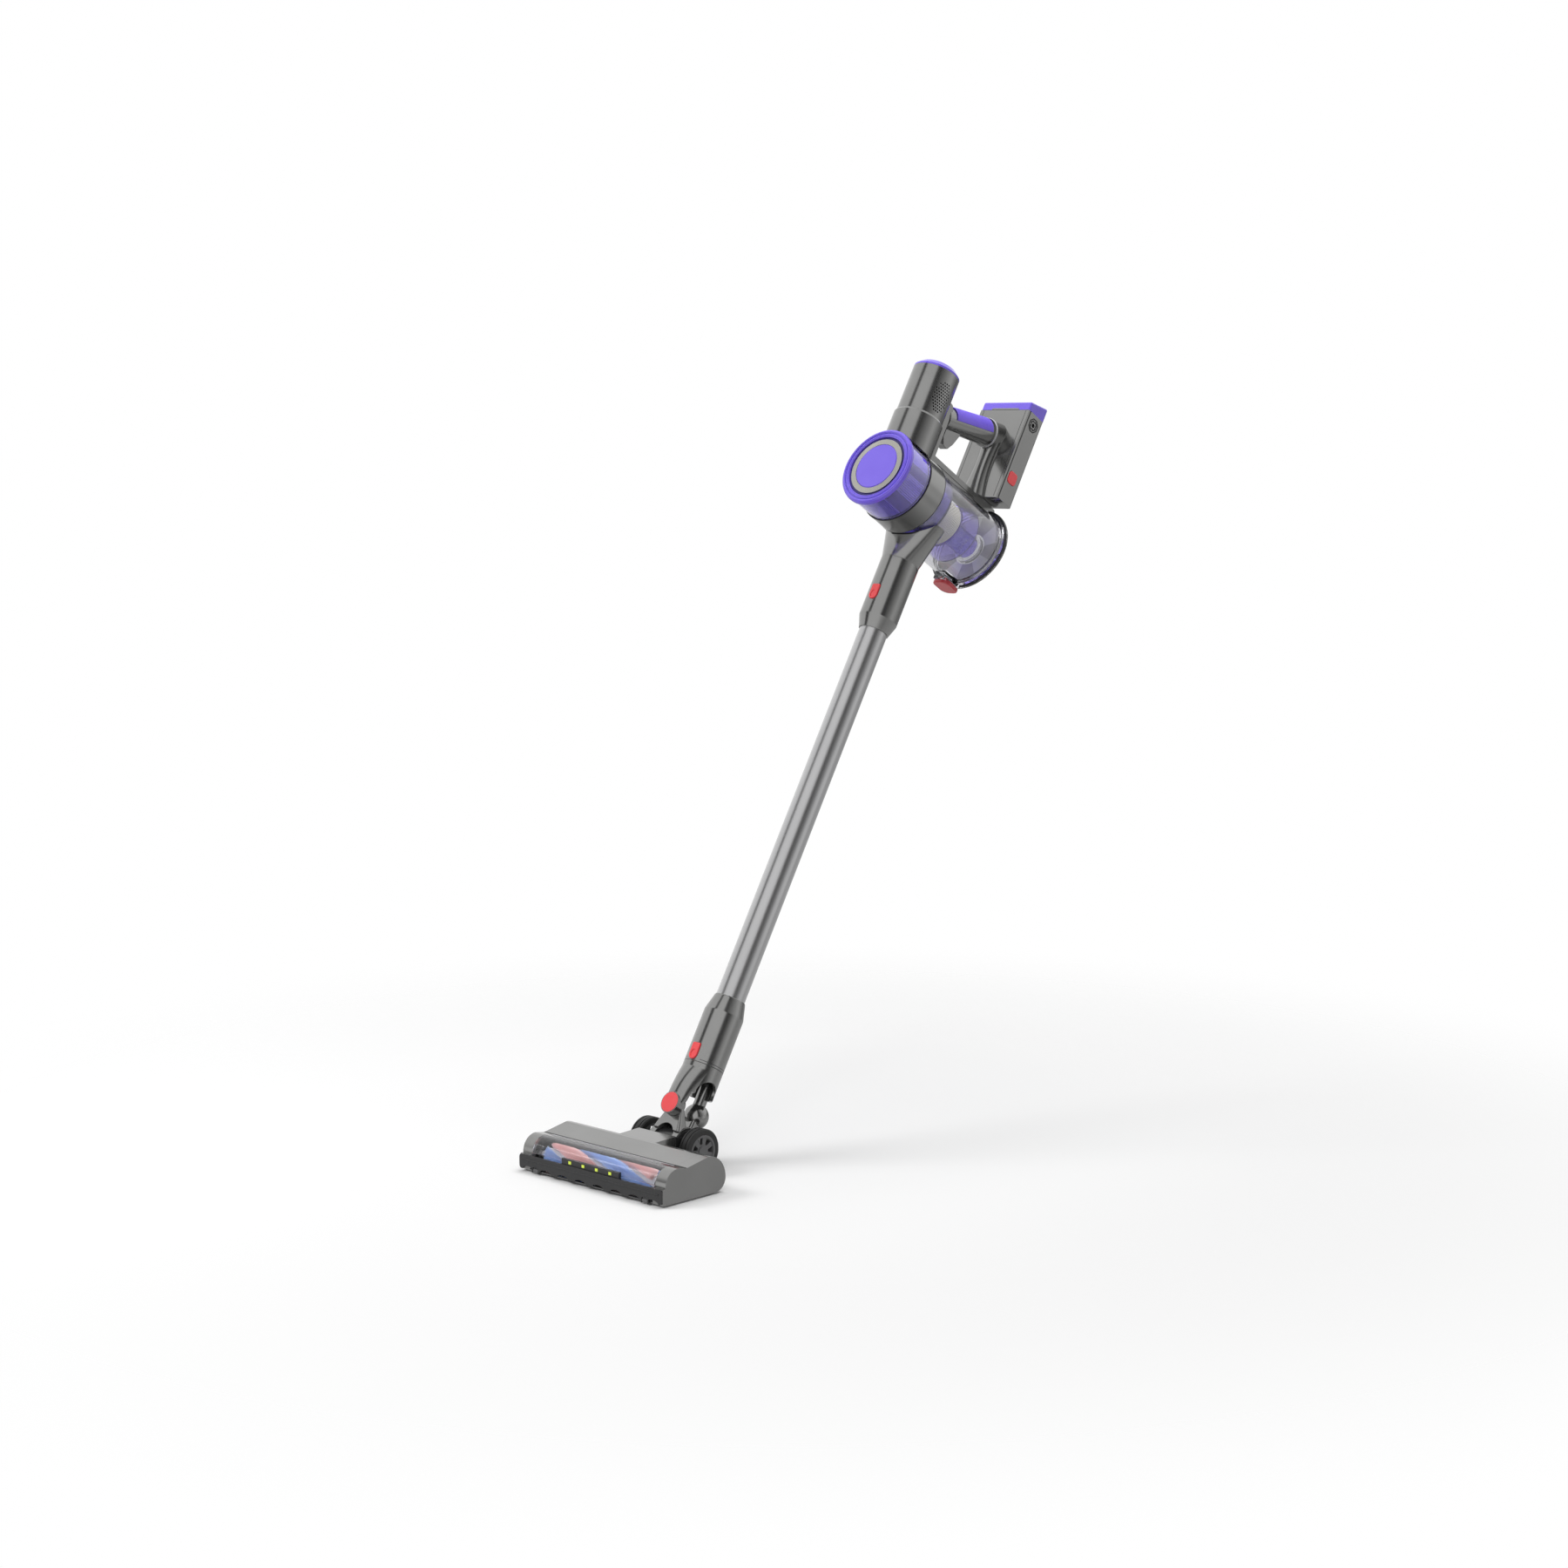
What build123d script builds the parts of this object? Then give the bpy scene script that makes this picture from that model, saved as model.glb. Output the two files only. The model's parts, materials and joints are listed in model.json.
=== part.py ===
# Cordless stick vacuum cleaner: handheld unit, wand, head coupling, swivel neck and powered floor head.
# Millimetres. +Z up, the front faces -Y, the width runs along X, the floor is Z = 0.
import os
from math import cos, pi, radians, sin, sqrt

from build123d import *

os.makedirs("parts", exist_ok=True)

# Stance: the wand leans back from the upright
lean_angle = 30.8

# Clearances
seat_gap = 0.1
slide_gap = 0.3
pin_gap = 0.05

# Small edges that the moulded pieces share
edge_break = 0.6
lip_break = 0.4

# Floor head, measured from the wheel axle forwards and from the floor up
head_width = 234.0
head_reach = 132.0
sole_clearance = 1.5
foot_slope = 4.0
lip_height = 20.0
lip_thickness = 2.0
dome_foot_reach = 126.0
dome_reach = 107.0
dome_height = 39.8
crease_reach = 93.5
crease_height = 37.6
ridge_reach = 60.0
ridge_height = 44.0
tail_reach = 33.0
tail_height = 17.0
heel_reach = 48.0
shell_wall = 2.5
sole_thickness = 2.5
cap_thickness = 16.0
cap_wall = 5.0
window_wall = 1.6
stem_half_width = 30.0
stem_back = 26.0
stem_height = 45.5
stem_wall = 3.0
stem_floor = 9.0

# Brush roll, its motor and its belt
brush_reach = 107.5
brush_height = 16.8
brush_radius = 16.0
core_radius = 8.8
strip_width = 3.0
strip_thickness = 1.2
bristle_width = 1.3
bristle_rows = 4
bristles_per_row = 92
bristle_margin = 4.0
helix_pitch = 270.0
helix_stations = 17
journal_radius = 4.0
journal_length = 8.0
bearing_boss_radius = 9.0
brush_motor_reach = 68.0
brush_motor_height = 21.0
brush_motor_radius = 13.0
brush_motor_length = 56.0
pulley_width = 6.0
brush_pulley_radius = 9.0
motor_pulley_radius = 5.0
motor_shaft_radius = 1.6
belt_thickness = 1.2
pulley_margin = 4.0

# Sole screws
screw_radius = 3.0
screw_head = 1.3
screw_recess = 0.2
screw_slot = 4.0
screw_slot_width = 0.8
screw_inset = 5.0
screw_reach = 12.0

# Front lip: scalloped edge, light bar and small rollers
scallops = 8
scallop_depth = 4.0
light_bar_half_width = 47.0
light_bar_top = 26.5
light_bar_bottom = 12.0
lights = 4
light_pitch = 22.0
light_width = 4.0
light_proud = 0.6
roller_radius = 3.3
roller_width = 8.0
roller_spread = 90.0
roller_pin_radius = 1.2
roller_ear = 1.6
roller_ear_clearance = 1.0

# Wheels and rear cradle
wheel_radius = 26.0
wheel_width = 15.0
wheel_track = 82.0
rim_radius = 19.0
rim_band = 2.5
rim_web = 4.0
rim_recess = 1.0
hub_radius = 6.5
hub_face = 1.5
spoke_slots = 7
slot_reach = 12.2
slot_half_length = 3.6
slot_inner_half = 1.5
slot_outer_half = 3.9
tyre_bevel = 1.5
tyre_groove = 1.2
axle_radius = 3.0
ear_radius = 10.0
ear_thickness = 6.0

# Swivel neck
barrel_radius = 20.0
barrel_half_width = 22.5
barrel_wall = 3.5
neck_wall = 3.0
neck_half_width = 22.0
roll_rise = 41.0
boss_radius = 13.0
boss_front = 31.0
boss_back = 20.0
ear_back = 14.0
ear_inset = 3.0
roll_pin_radius = 5.0
hinge_cap_radius = 12.0
hinge_cap_depth = 2.0
ball_radius = 15.0
ball_offset = 18.0
arch_radius = 14.0

# Coupling and wand
sleeve_radius = 24.0
yoke_bore = 20.5
yoke_shoulder = 6.0
yoke_waist_inset = 6.0
yoke_waist_drop = 3.0
yoke_bottom = 62.0
yoke_top = 96.0
sleeve_top = 181.5
cone_length = 20.0
rim_width = 1.2
socket_depth = 50.0
airway_radius = 15.0
duct_radius = 7.5
duct_bore = 6.0
duct_offset = 16.0
wand_radius = 17.5
wand_wall = 1.2
wand_length = 484.0
conduit_radius = 2.2

# Release buttons on the two sockets
button_width = 12.0
button_height = 20.0
button_proud = 1.2
button_thickness = 4.0
button_travel = 1.8
button_round = 0.8
dimple_half_width = 3.4
dimple_half_height = 4.6
dimple_drop = 3.2
dimple_depth = 0.6
head_button_drop = 74.0
wand_button_rise = 43.5

# Handheld unit, measured from the cyclone axis: rearwards across the wand, and up along it
inlet_rise = 174.0
inlet_flare_start = -80.0
inlet_flare_end = -28.0
flare_half_width = 43.0
flare_depth = 24.0
flare_offset = 2.5
collar_radius = 50.0
collar_wall = 3.5
collar_front = -54.0
collar_back = -23.5
bulkhead = 3.0
bulkhead_bore = 24.0
bin_radius = 49.0
bin_wall = 2.0
bin_back = 104.0
bin_flange_radius = 53.0
bin_flange_length = 5.0
bracket_half_width = 8.0
bracket_front = 72.0
bracket_drop = 60.0

# Cyclone core inside the bin
core_collar_radius = 45.5
core_collar_back = -2.0
core_collar_wall = 2.0
mesh_radius = 28.0
mesh_wall = 1.0
mesh_back = 44.0
dish_radius = 38.5
dish_back = 68.0
dish_wall = 2.0
tube_radius = 15.0
tube_wall = 2.0
tube_back = 100.0

# Bin lid and its catch
lid_radius = 55.6
lid_thickness = 3.6
lid_ring_radius = 19.5
lid_ring_wall = 3.0
lid_ring_reach = 6.0
seal_thickness = 2.0
seal_inner_radius = 47.5
seal_step = 0.5
lid_hinge_rise = 52.6
knuckle_radius = 3.6
knuckle_half_width = 9.2
lid_pin_radius = 1.8
lid_notch_rise = 45.5
catch_half_width = 13.0
catch_front = 74.0
catch_back = 105.0
catch_thickness = 4.0
catch_round = 10.0
catch_edge = 1.4
catch_tongue = 5.0
catch_tongue_half_width = 3.0
catch_travel = 3.0

# Filter cartridge
cap_front = -98.5
cap_radius = 51.0
cap_plate = 2.5
cap_well_radius = 40.0
cap_line_radius = 45.0
cap_line = 1.0
badge_recess = 3.0
badge_ring_radius = 37.0
badge_disc_radius = 30.0
badge_disc_front = -99.3
ring_radius = 48.8
ring_wall = 2.4
pleat_radius = 44.0
pleat_depth = 2.0
pleats = 10
filter_bore = 26.0

# Suction motor housing, upright above the cartridge
motor_offset = -61.0
motor_top = 150.0
motor_step = 87.0
motor_upper_radius = 29.5
motor_lower_radius = 31.5
motor_wall = 3.0
motor_bevel = 1.5
motor_floor = 58.0
motor_cap_height = 8.5
motor_cap_bevel = 6.0
cap_tail_half_width = 10.0
cap_tail_thickness = 2.0
vent_radius = 1.15
vent_rows = 12
vent_columns = 7
vent_corner = 1.5
vent_row_pitch = 3.45
vent_turn = 6.6
vent_low = 95.5
vent_first_turn = 33.0
suction_motor_radius = 22.0
suction_motor_top = 102.0
impeller_radius = 21.0
impeller_thickness = 11.0
impeller_gap = 2.0
impeller_plate = 2.0
impeller_blades = 9
impeller_blade = 1.2
shaft_radius = 3.0
exhaust_filter_bottom = 124.0
exhaust_filter_bore = 14.0

# Handle: front post, beam over the bin, grip and trigger
beam_top = 58.0
beam_half_width = 13.0
post_back = -24.0
post_depth = 9.0
post_top = 128.0
frame_inner_round = 7.0
grip_start_rise = 112.3
grip_angle = 18.6
grip_length = 84.0
grip_front_radius = 14.5
grip_back_radius = 16.5
grip_wall = 3.0
pad_thickness = 1.4
pad_start = 12.0
pad_end = 80.0
pad_drop = 1.0
grip_ring_radius = 18.4
grip_ring_length = 4.5
trigger_half_width = 5.5
trigger_pivot = (-11.0, 105.5)
trigger_pin_radius = 1.5
trigger_tip = (-1.5, 80.2)
trigger_front = 4.5
trigger_back = 22.0
trigger_toe = 8.0
trigger_toe_rise = 1.0
trigger_heel_drop = 14.5
trigger_knee_reach = 7.0
trigger_knee_rise = 11.0
trigger_shoulder = 2.5
trigger_head_rise = 10.0
trigger_round = 3.4
trigger_pin_reach = 3.2
trigger_slot_lead = 5.4
trigger_slot_length = 27.8
switch_station = 36.0
switch_half_width = 5.0
switch_height = 6.0
switch_length = 13.0

# Battery dock and battery
dock_front = 76.0
dock_plate = 3.0
dock_bottom = 58.0
battery_half_width = 39.0
battery_back = 109.0
battery_bottom = 60.0
battery_wall = 2.5
battery_top = 184.0
battery_cap_front_top = 195.0
battery_cap_back_top = 203.5
battery_round = 3.0
trunk_depth = 13.0
trunk_foot_half_width = 19.0
trunk_waist_half_width = 12.0
trunk_waist_depth = 11.0
trunk_waist_rise = 94.0
trunk_head_half_width = 15.5
trunk_head_rise = 145.0
cell_radius = 9.0
cell_length = 64.0
cell_pitch = 18.4
cells = 5
cell_plate = 1.1
cell_gap = 0.5
blade_thickness = 1.0
blade_width = 8.0
blade_spread = 6.0
blade_top = 63.5
blade_slot_gap = 0.5
side_button_place = (91.5, 93.5)
side_button_size = 16.0
side_button_round = 4.5
side_button_proud = 1.0
side_button_thickness = 3.6
side_button_travel = 1.6
jack_place = (93.0, 170.5)
jack_radius = 6.5
jack_bore = 2.75
jack_depth = 9.0
jack_wall = 2.0

# Stations along the wand, measured from the wheel axle
wand_bottom = sleeve_top - socket_depth
inlet_bottom = sleeve_top + wand_length
wand_top = inlet_bottom + socket_depth
cyclone_station = inlet_bottom + inlet_rise

# Frames: the origin is under the middle of the whole object's box
lean = radians(lean_angle)
wand_dir = Vector(0, sin(lean), cos(lean))
across_dir = Vector(0, cos(lean), -sin(lean))
rear_reach = battery_back * cos(lean) + (cyclone_station + battery_cap_back_top) * sin(lean)
axle_y = (head_reach - rear_reach) / 2
axle_height = wheel_radius
side_dir = (1, 0, 0)

head_side = Plane(origin=(0, axle_y, 0), x_dir=(0, 1, 0), z_dir=side_dir)
head_front = Plane(origin=(0, axle_y, 0), x_dir=side_dir, z_dir=(0, -1, 0))
wand = Plane(origin=(0, axle_y, axle_height), x_dir=side_dir, z_dir=wand_dir)
wand_side = Plane(origin=wand.origin, x_dir=across_dir, z_dir=side_dir)
wand_front = Plane(origin=wand.origin, x_dir=side_dir, z_dir=-across_dir)
hand = wand.offset(cyclone_station)
hand_side = Plane(origin=hand.origin, x_dir=across_dir, z_dir=side_dir)
hand_front = Plane(origin=hand.origin, x_dir=side_dir, z_dir=-across_dir)
cyclone = Plane(origin=hand.origin, x_dir=side_dir, z_dir=across_dir)
axle = Plane(origin=wand.origin, x_dir=(0, 1, 0), z_dir=side_dir)
roll = Plane(origin=wand.offset(roll_rise).origin, x_dir=side_dir, z_dir=across_dir)
motor = Plane(origin=hand.from_local_coords((0, motor_offset, 0)), x_dir=side_dir, z_dir=wand_dir)
motor_side = Plane(origin=motor.origin, x_dir=across_dir, z_dir=side_dir)

wand_axis = Axis(wand.origin, wand_dir)
cyclone_axis = Axis(hand.origin, across_dir)
motor_axis = Axis(motor.origin, wand_dir)
axle_axis = Axis(wand.origin, side_dir)

sides = (("left", -1), ("right", 1))
cap_inner = head_width / 2 - cap_thickness
cap_inner_face = cap_front + badge_recess
cap_back = cap_inner_face + cap_plate
grip_lean = radians(grip_angle)
grip_dir = across_dir * cos(grip_lean) + wand_dir * sin(grip_lean)
grip = Plane(
    origin=hand.from_local_coords((0, post_back, grip_start_rise)), x_dir=side_dir, z_dir=grip_dir
)

# Shared outlines
with BuildSketch() as head_outline:
    lip_top = (-head_reach, lip_height)
    dome_foot = (-dome_foot_reach, lip_height)
    dome_start = (-dome_reach, dome_height)
    ridge = (-ridge_reach, ridge_height)
    tail = (-tail_reach, tail_height)
    heel = (-heel_reach, sole_clearance)
    with BuildLine():
        Polyline(
            heel,
            (-head_reach + foot_slope, sole_clearance),
            (-head_reach, sole_clearance + foot_slope),
            lip_top,
            dome_foot,
        )
        TangentArc(dome_start, dome_foot, tangent=(-1, 0))
        Polyline(dome_start, (-crease_reach, crease_height), ridge)
        tail_round = TangentArc(ridge, tail, tangent=(1, 0))
        TangentArc(tail, heel, tangent=tail_round % 1)
    make_face()

with BuildSketch() as head_cavity:
    add(head_outline.sketch)
    offset(amount=-shell_wall, mode=Mode.REPLACE)

with BuildSketch() as button_outline:
    straight = button_height / 2
    round_start = -button_height / 2 + button_width / 2
    with BuildLine():
        Polyline(
            (button_width / 2, round_start),
            (button_width / 2, straight),
            (-button_width / 2, straight),
            (-button_width / 2, round_start),
        )
        ThreePointArc(
            (-button_width / 2, round_start),
            (0, -button_height / 2),
            (button_width / 2, round_start),
        )
    make_face()
    fillet(button_outline.vertices().group_by(Axis.Y)[-1], button_width / 6)

with BuildSketch() as button_pocket:
    add(button_outline.sketch)
    offset(amount=slide_gap, mode=Mode.REPLACE)

button_face = sleeve_radius + button_proud
pocket_floor = button_face - button_thickness - button_travel - slide_gap

# Floor head: end caps carry the brush journals and close the shell
for side, sign in sides:
    with BuildPart() as end_cap:
        with BuildSketch(head_side.offset(sign * cap_inner)):
            add(head_outline.sketch)
            with Locations((-head_reach + lip_thickness + seat_gap, lip_height + seat_gap)):
                Rectangle(
                    2 * lip_thickness + foot_slope,
                    2 * lip_height,
                    align=(Align.MAX, Align.MAX),
                    mode=Mode.SUBTRACT,
                )
        extrude(amount=sign * cap_thickness)
        with BuildSketch(head_side.offset(sign * cap_inner)):
            add(head_outline.sketch)
            offset(amount=-cap_wall, mode=Mode.REPLACE)
            with Locations((-brush_reach, brush_height)):
                Circle(bearing_boss_radius, mode=Mode.SUBTRACT)
        extrude(amount=sign * (cap_thickness - cap_wall), mode=Mode.SUBTRACT)
        with BuildSketch(head_side.offset(sign * cap_inner)):
            with Locations((-brush_reach, brush_height)):
                Circle(journal_radius + pin_gap)
        extrude(amount=sign * (journal_length + slide_gap), mode=Mode.SUBTRACT)
    end_cap.part.label = f"end_cap_{side}"
    export_step(end_cap.part, f"parts/end_cap_{side}.step")

# Floor head: top panel with its rear tunnel, a T seen from above
sole_top = sole_clearance + sole_thickness
with BuildPart() as upper_shell:
    with BuildSketch(head_side):
        add(head_outline.sketch)
        add(head_cavity.sketch, mode=Mode.SUBTRACT)
        with Locations((-crease_reach, sole_top + seat_gap)):
            Rectangle(head_reach, head_reach, align=Align.MIN, mode=Mode.INTERSECT)
    extrude(amount=cap_inner, both=True)
    with BuildSketch(head_side):
        Polygon(
            (-ridge_reach, stem_floor),
            (-ridge_reach, ridge_height - shell_wall / 2),
            (-ridge_reach + shell_wall, ridge_height),
            (-stem_back, stem_height),
            (-stem_back, stem_floor),
            align=None,
        )
    extrude(amount=stem_half_width, both=True)
    with BuildSketch(head_side):
        with Locations((-stem_back, (stem_floor + ridge_height) / 2)):
            Rectangle(2 * (ridge_reach - stem_back), ridge_height - stem_floor - 2 * stem_wall)
    extrude(amount=stem_half_width - stem_wall, both=True, mode=Mode.SUBTRACT)
upper_shell.part.label = "upper_shell"
export_step(upper_shell.part, "parts/upper_shell.step")

# Floor head: clear window over the brush
with BuildSketch() as window_cavity:
    add(head_outline.sketch)
    offset(amount=-window_wall, mode=Mode.REPLACE)

with BuildPart() as window:
    with BuildSketch(head_side):
        add(head_outline.sketch)
        add(window_cavity.sketch, mode=Mode.SUBTRACT)
        with Locations((-crease_reach - seat_gap, lip_height + window_wall)):
            Rectangle(
                head_reach, head_reach, align=(Align.MAX, Align.MIN), mode=Mode.INTERSECT
            )
    extrude(amount=cap_inner - seat_gap, both=True)
window.part.label = "window"
export_step(window.part, "parts/window.step")

# Floor head: light bar between the lip and the window, and its small lights
light_bar_face = head_reach - lip_thickness - seat_gap
light_rise = (lip_height + light_bar_top) / 2
light_height = (light_bar_top - lip_height) / 2
with BuildPart() as led_bar:
    with BuildSketch(head_front.offset(dome_foot_reach + 2 * seat_gap)):
        with Locations((0, (light_bar_bottom + light_bar_top) / 2)):
            Rectangle(2 * light_bar_half_width, light_bar_top - light_bar_bottom)
    extrude(amount=light_bar_face - dome_foot_reach - 2 * seat_gap)
    with BuildSketch(head_front.offset(light_bar_face - light_proud)):
        with Locations((0, light_rise)):
            with GridLocations(light_pitch, 1, lights, 1):
                Rectangle(light_width + 2 * pin_gap, light_height + 2 * pin_gap)
    extrude(amount=light_proud, mode=Mode.SUBTRACT)
led_bar.part.label = "led_bar"
export_step(led_bar.part, "parts/led_bar.step")

with BuildPart() as leds:
    with BuildSketch(head_front.offset(light_bar_face - light_proud)):
        with Locations((0, light_rise)):
            with GridLocations(light_pitch, 1, lights, 1):
                Rectangle(light_width, light_height)
    extrude(amount=2 * light_proud)
leds.part.label = "leds"
export_step(leds.part, "parts/leds.step")

# Floor head: scalloped front lip with the ears of the small rollers
roller_reach = head_reach - roller_radius - slide_gap
roller_space = roller_width / 2 + slide_gap
ear_reach = head_reach - lip_thickness - roller_radius - roller_pin_radius
lip_bottom = 2 * sole_clearance
with BuildPart() as front_lip:
    with BuildSketch(head_front.offset(head_reach - lip_thickness)):
        with Locations((0, (lip_height + lip_bottom) / 2)):
            RectangleRounded(head_width, lip_height - lip_bottom, foot_slope)
        with Locations((0, lip_bottom)):
            with GridLocations(head_width / scallops, 1, scallops, 1):
                Ellipse(head_width / scallops / 3, scallop_depth, mode=Mode.SUBTRACT)
        with Locations((roller_spread, 0), (-roller_spread, 0)):
            Rectangle(
                2 * (roller_space + roller_ear),
                4 * roller_radius + 4 * slide_gap,
                mode=Mode.SUBTRACT,
            )
    extrude(amount=lip_thickness)
    for sign in (-1, 1):
        for reach in (-roller_space - roller_ear, roller_space):
            with BuildSketch(head_side.offset(sign * roller_spread + reach)):
                with Locations((-head_reach, roller_ear_clearance)):
                    Rectangle(
                        head_reach - ear_reach,
                        2 * roller_radius + roller_ear,
                        align=Align.MIN,
                    )
                with Locations((-roller_reach, roller_radius)):
                    Circle(roller_pin_radius + pin_gap, mode=Mode.SUBTRACT)
            extrude(amount=roller_ear)
front_lip.part.label = "front_lip"
export_step(front_lip.part, "parts/front_lip.step")

for side, sign in sides:
    with BuildPart() as roller:
        with BuildSketch(head_side.offset(sign * roller_spread)):
            with Locations((-roller_reach, roller_radius)):
                Circle(roller_radius)
        extrude(amount=roller_width / 2, both=True)
        with BuildSketch(head_side.offset(sign * roller_spread)):
            with Locations((-roller_reach, roller_radius)):
                Circle(roller_pin_radius)
        extrude(amount=roller_space + roller_ear, both=True)
    roller.part.label = f"roller_{side}"
    export_step(roller.part, f"parts/roller_{side}.step")

# Floor head: sole plate with the brush opening, the wall behind the brush and the motor cradle
brush_half = cap_inner - pulley_width - pulley_margin - 1
pulley_start = brush_half + 1
opening_depth = 1.5 * brush_radius
partition_reach = brush_reach - brush_radius - 1
partition_top = crease_height - shell_wall - seat_gap
motor_end = pulley_start - 3
motor_start = motor_end - brush_motor_length
with BuildPart() as sole_plate:
    with BuildSketch(head_side):
        add(head_outline.sketch)
        with Locations((-head_reach + lip_thickness + seat_gap, sole_top)):
            Rectangle(
                head_reach, head_reach, align=(Align.MIN, Align.MAX), mode=Mode.INTERSECT
            )
        with Locations((-partition_reach, sole_clearance)):
            Rectangle(shell_wall, partition_top - sole_clearance, align=Align.MIN)
    extrude(amount=cap_inner - seat_gap, both=True)
    with BuildSketch(Plane.XY):
        with Locations((0, axle_y - brush_reach)):
            Rectangle(2 * (brush_half + pulley_margin / 2), opening_depth)
        with Locations(
            (roller_spread, axle_y - roller_reach), (-roller_spread, axle_y - roller_reach)
        ):
            Rectangle(
                2 * (roller_space + roller_ear + slide_gap),
                2 * (roller_radius + 2 * slide_gap),
            )
    extrude(amount=2 * sole_top, mode=Mode.SUBTRACT)
    with BuildSketch(head_front.offset(partition_reach - 2 * shell_wall)):
        with Locations((0, (stem_floor + partition_top) / 2)):
            Rectangle(2 * (stem_half_width - stem_wall), partition_top - 2 * stem_floor)
        with Locations((pulley_start + pulley_width / 2, brush_height)):
            Rectangle(pulley_width + 2, 3 * brush_pulley_radius)
    extrude(amount=4 * shell_wall, mode=Mode.SUBTRACT)
    with BuildSketch(head_side.offset(motor_start + brush_motor_radius / 2)):
        with Locations((-brush_motor_reach, sole_top - 1)):
            Rectangle(
                1.4 * brush_motor_radius,
                brush_motor_height - sole_top,
                align=(Align.CENTER, Align.MIN),
            )
        with Locations((-brush_motor_reach, brush_motor_height)):
            Circle(brush_motor_radius + pin_gap, mode=Mode.SUBTRACT)
    extrude(amount=brush_motor_length - brush_motor_radius)
    screw_row = axle_y - heel_reach - screw_reach
    screw_places = []
    for across in (cap_inner - screw_inset, stem_half_width):
        screw_places.append((-across, screw_row))
        screw_places.append((across, screw_row))
    with BuildSketch(Plane.XY):
        with Locations(*screw_places):
            Circle(screw_radius + pin_gap)
    extrude(amount=sole_clearance + screw_recess + screw_head, mode=Mode.SUBTRACT)
sole_plate.part.label = "sole_plate"
export_step(sole_plate.part, "parts/sole_plate.step")

with BuildPart() as sole_screws:
    with BuildSketch(Plane.XY.offset(sole_clearance + screw_recess)):
        with Locations(*screw_places):
            Circle(screw_radius)
    extrude(amount=screw_head)
    with BuildSketch(Plane.XY.offset(sole_clearance)):
        with Locations(*screw_places):
            Rectangle(screw_slot, screw_slot_width)
            Rectangle(screw_slot_width, screw_slot)
    extrude(amount=screw_recess + screw_head / 2, mode=Mode.SUBTRACT)
sole_screws.part.label = "sole_screws"
export_step(sole_screws.part, "parts/sole_screws.step")

# Brush motor, belt and pulleys
with BuildPart() as brush_motor:
    with BuildSketch(head_side.offset(motor_start)):
        with Locations((-brush_motor_reach, brush_motor_height)):
            Circle(brush_motor_radius)
    extrude(amount=brush_motor_length)
    with BuildSketch(head_side.offset(motor_end)):
        with Locations((-brush_motor_reach, brush_motor_height)):
            Circle(motor_shaft_radius)
    extrude(amount=pulley_start + pulley_width - motor_end)
brush_motor.part.label = "brush_motor"
export_step(brush_motor.part, "parts/brush_motor.step")

with BuildPart() as motor_pulley:
    with BuildSketch(head_side.offset(pulley_start)):
        with Locations((-brush_motor_reach, brush_motor_height)):
            Circle(motor_pulley_radius)
            Circle(motor_shaft_radius + pin_gap, mode=Mode.SUBTRACT)
    extrude(amount=pulley_width)
motor_pulley.part.label = "motor_pulley"
export_step(motor_pulley.part, "parts/motor_pulley.step")

with BuildPart() as drive_belt:
    belt_sketches = []
    for spare in (slide_gap + belt_thickness, slide_gap):
        with BuildSketch(head_side.offset(pulley_start + 0.5), mode=Mode.PRIVATE) as belt_loop:
            with Locations((-brush_reach, brush_height)):
                Circle(brush_pulley_radius + spare)
            with Locations((-brush_motor_reach, brush_motor_height)):
                Circle(motor_pulley_radius + spare)
            make_hull()
        belt_sketches.append(belt_loop.sketch)
    extrude(belt_sketches[0], amount=pulley_width - 1)
    extrude(belt_sketches[1], amount=pulley_width - 1, mode=Mode.SUBTRACT)
drive_belt.part.label = "drive_belt"
export_step(drive_belt.part, "parts/drive_belt.step")

# Brush roll: core with its pulley and journals, and two pairs of helical bristle rows
with BuildPart() as brush_core:
    with BuildSketch(head_side):
        with Locations((-brush_reach, brush_height)):
            Circle(core_radius)
    extrude(amount=brush_half, both=True)
    with BuildSketch(head_side.offset(pulley_start)):
        with Locations((-brush_reach, brush_height)):
            Circle(brush_pulley_radius)
    extrude(amount=pulley_width)
    with BuildSketch(head_side):
        with Locations((-brush_reach, brush_height)):
            Circle(journal_radius)
    extrude(amount=cap_inner + journal_length, both=True)
brush_core.part.label = "brush_core"
export_step(brush_core.part, "parts/brush_core.step")

row_half = brush_half - bristle_margin
strip_radius = core_radius + 2 * seat_gap + strip_thickness / 2
bristle_pitch = 2 * row_half / bristles_per_row
for colour, first_row in (("red", 0), ("blue", 1)):
    with BuildPart() as bristles:
        roots = []
        for row in range(first_row, bristle_rows, 2):
            stations = []
            for step in range(helix_stations):
                x = -row_half + 2 * row_half * step / (helix_stations - 1)
                turn = 2 * pi * (row / bristle_rows + x / helix_pitch)
                outward = Vector(0, cos(turn), sin(turn))
                centre = Vector(x, axle_y - brush_reach, brush_height) + outward * strip_radius
                stations.append(Plane(origin=centre, x_dir=outward, z_dir=side_dir))
            with BuildSketch(*stations):
                Rectangle(strip_thickness, strip_width)
            loft(ruled=True)
            for strand in range(bristles_per_row):
                x = -row_half + (strand + 0.5) * bristle_pitch
                turn = 2 * pi * (row / bristle_rows + x / helix_pitch)
                outward = Vector(0, cos(turn), sin(turn))
                centre = Vector(x, axle_y - brush_reach, brush_height) + outward * strip_radius
                roots.append(Plane(origin=centre, x_dir=side_dir, z_dir=outward))
        with BuildSketch(*roots):
            RegularPolygon(bristle_width / 2, 3)
        extrude(amount=brush_radius - strip_radius)
    bristles.part.label = f"{colour}_bristles"
    export_step(bristles.part, f"parts/{colour}_bristles.step")

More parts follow.
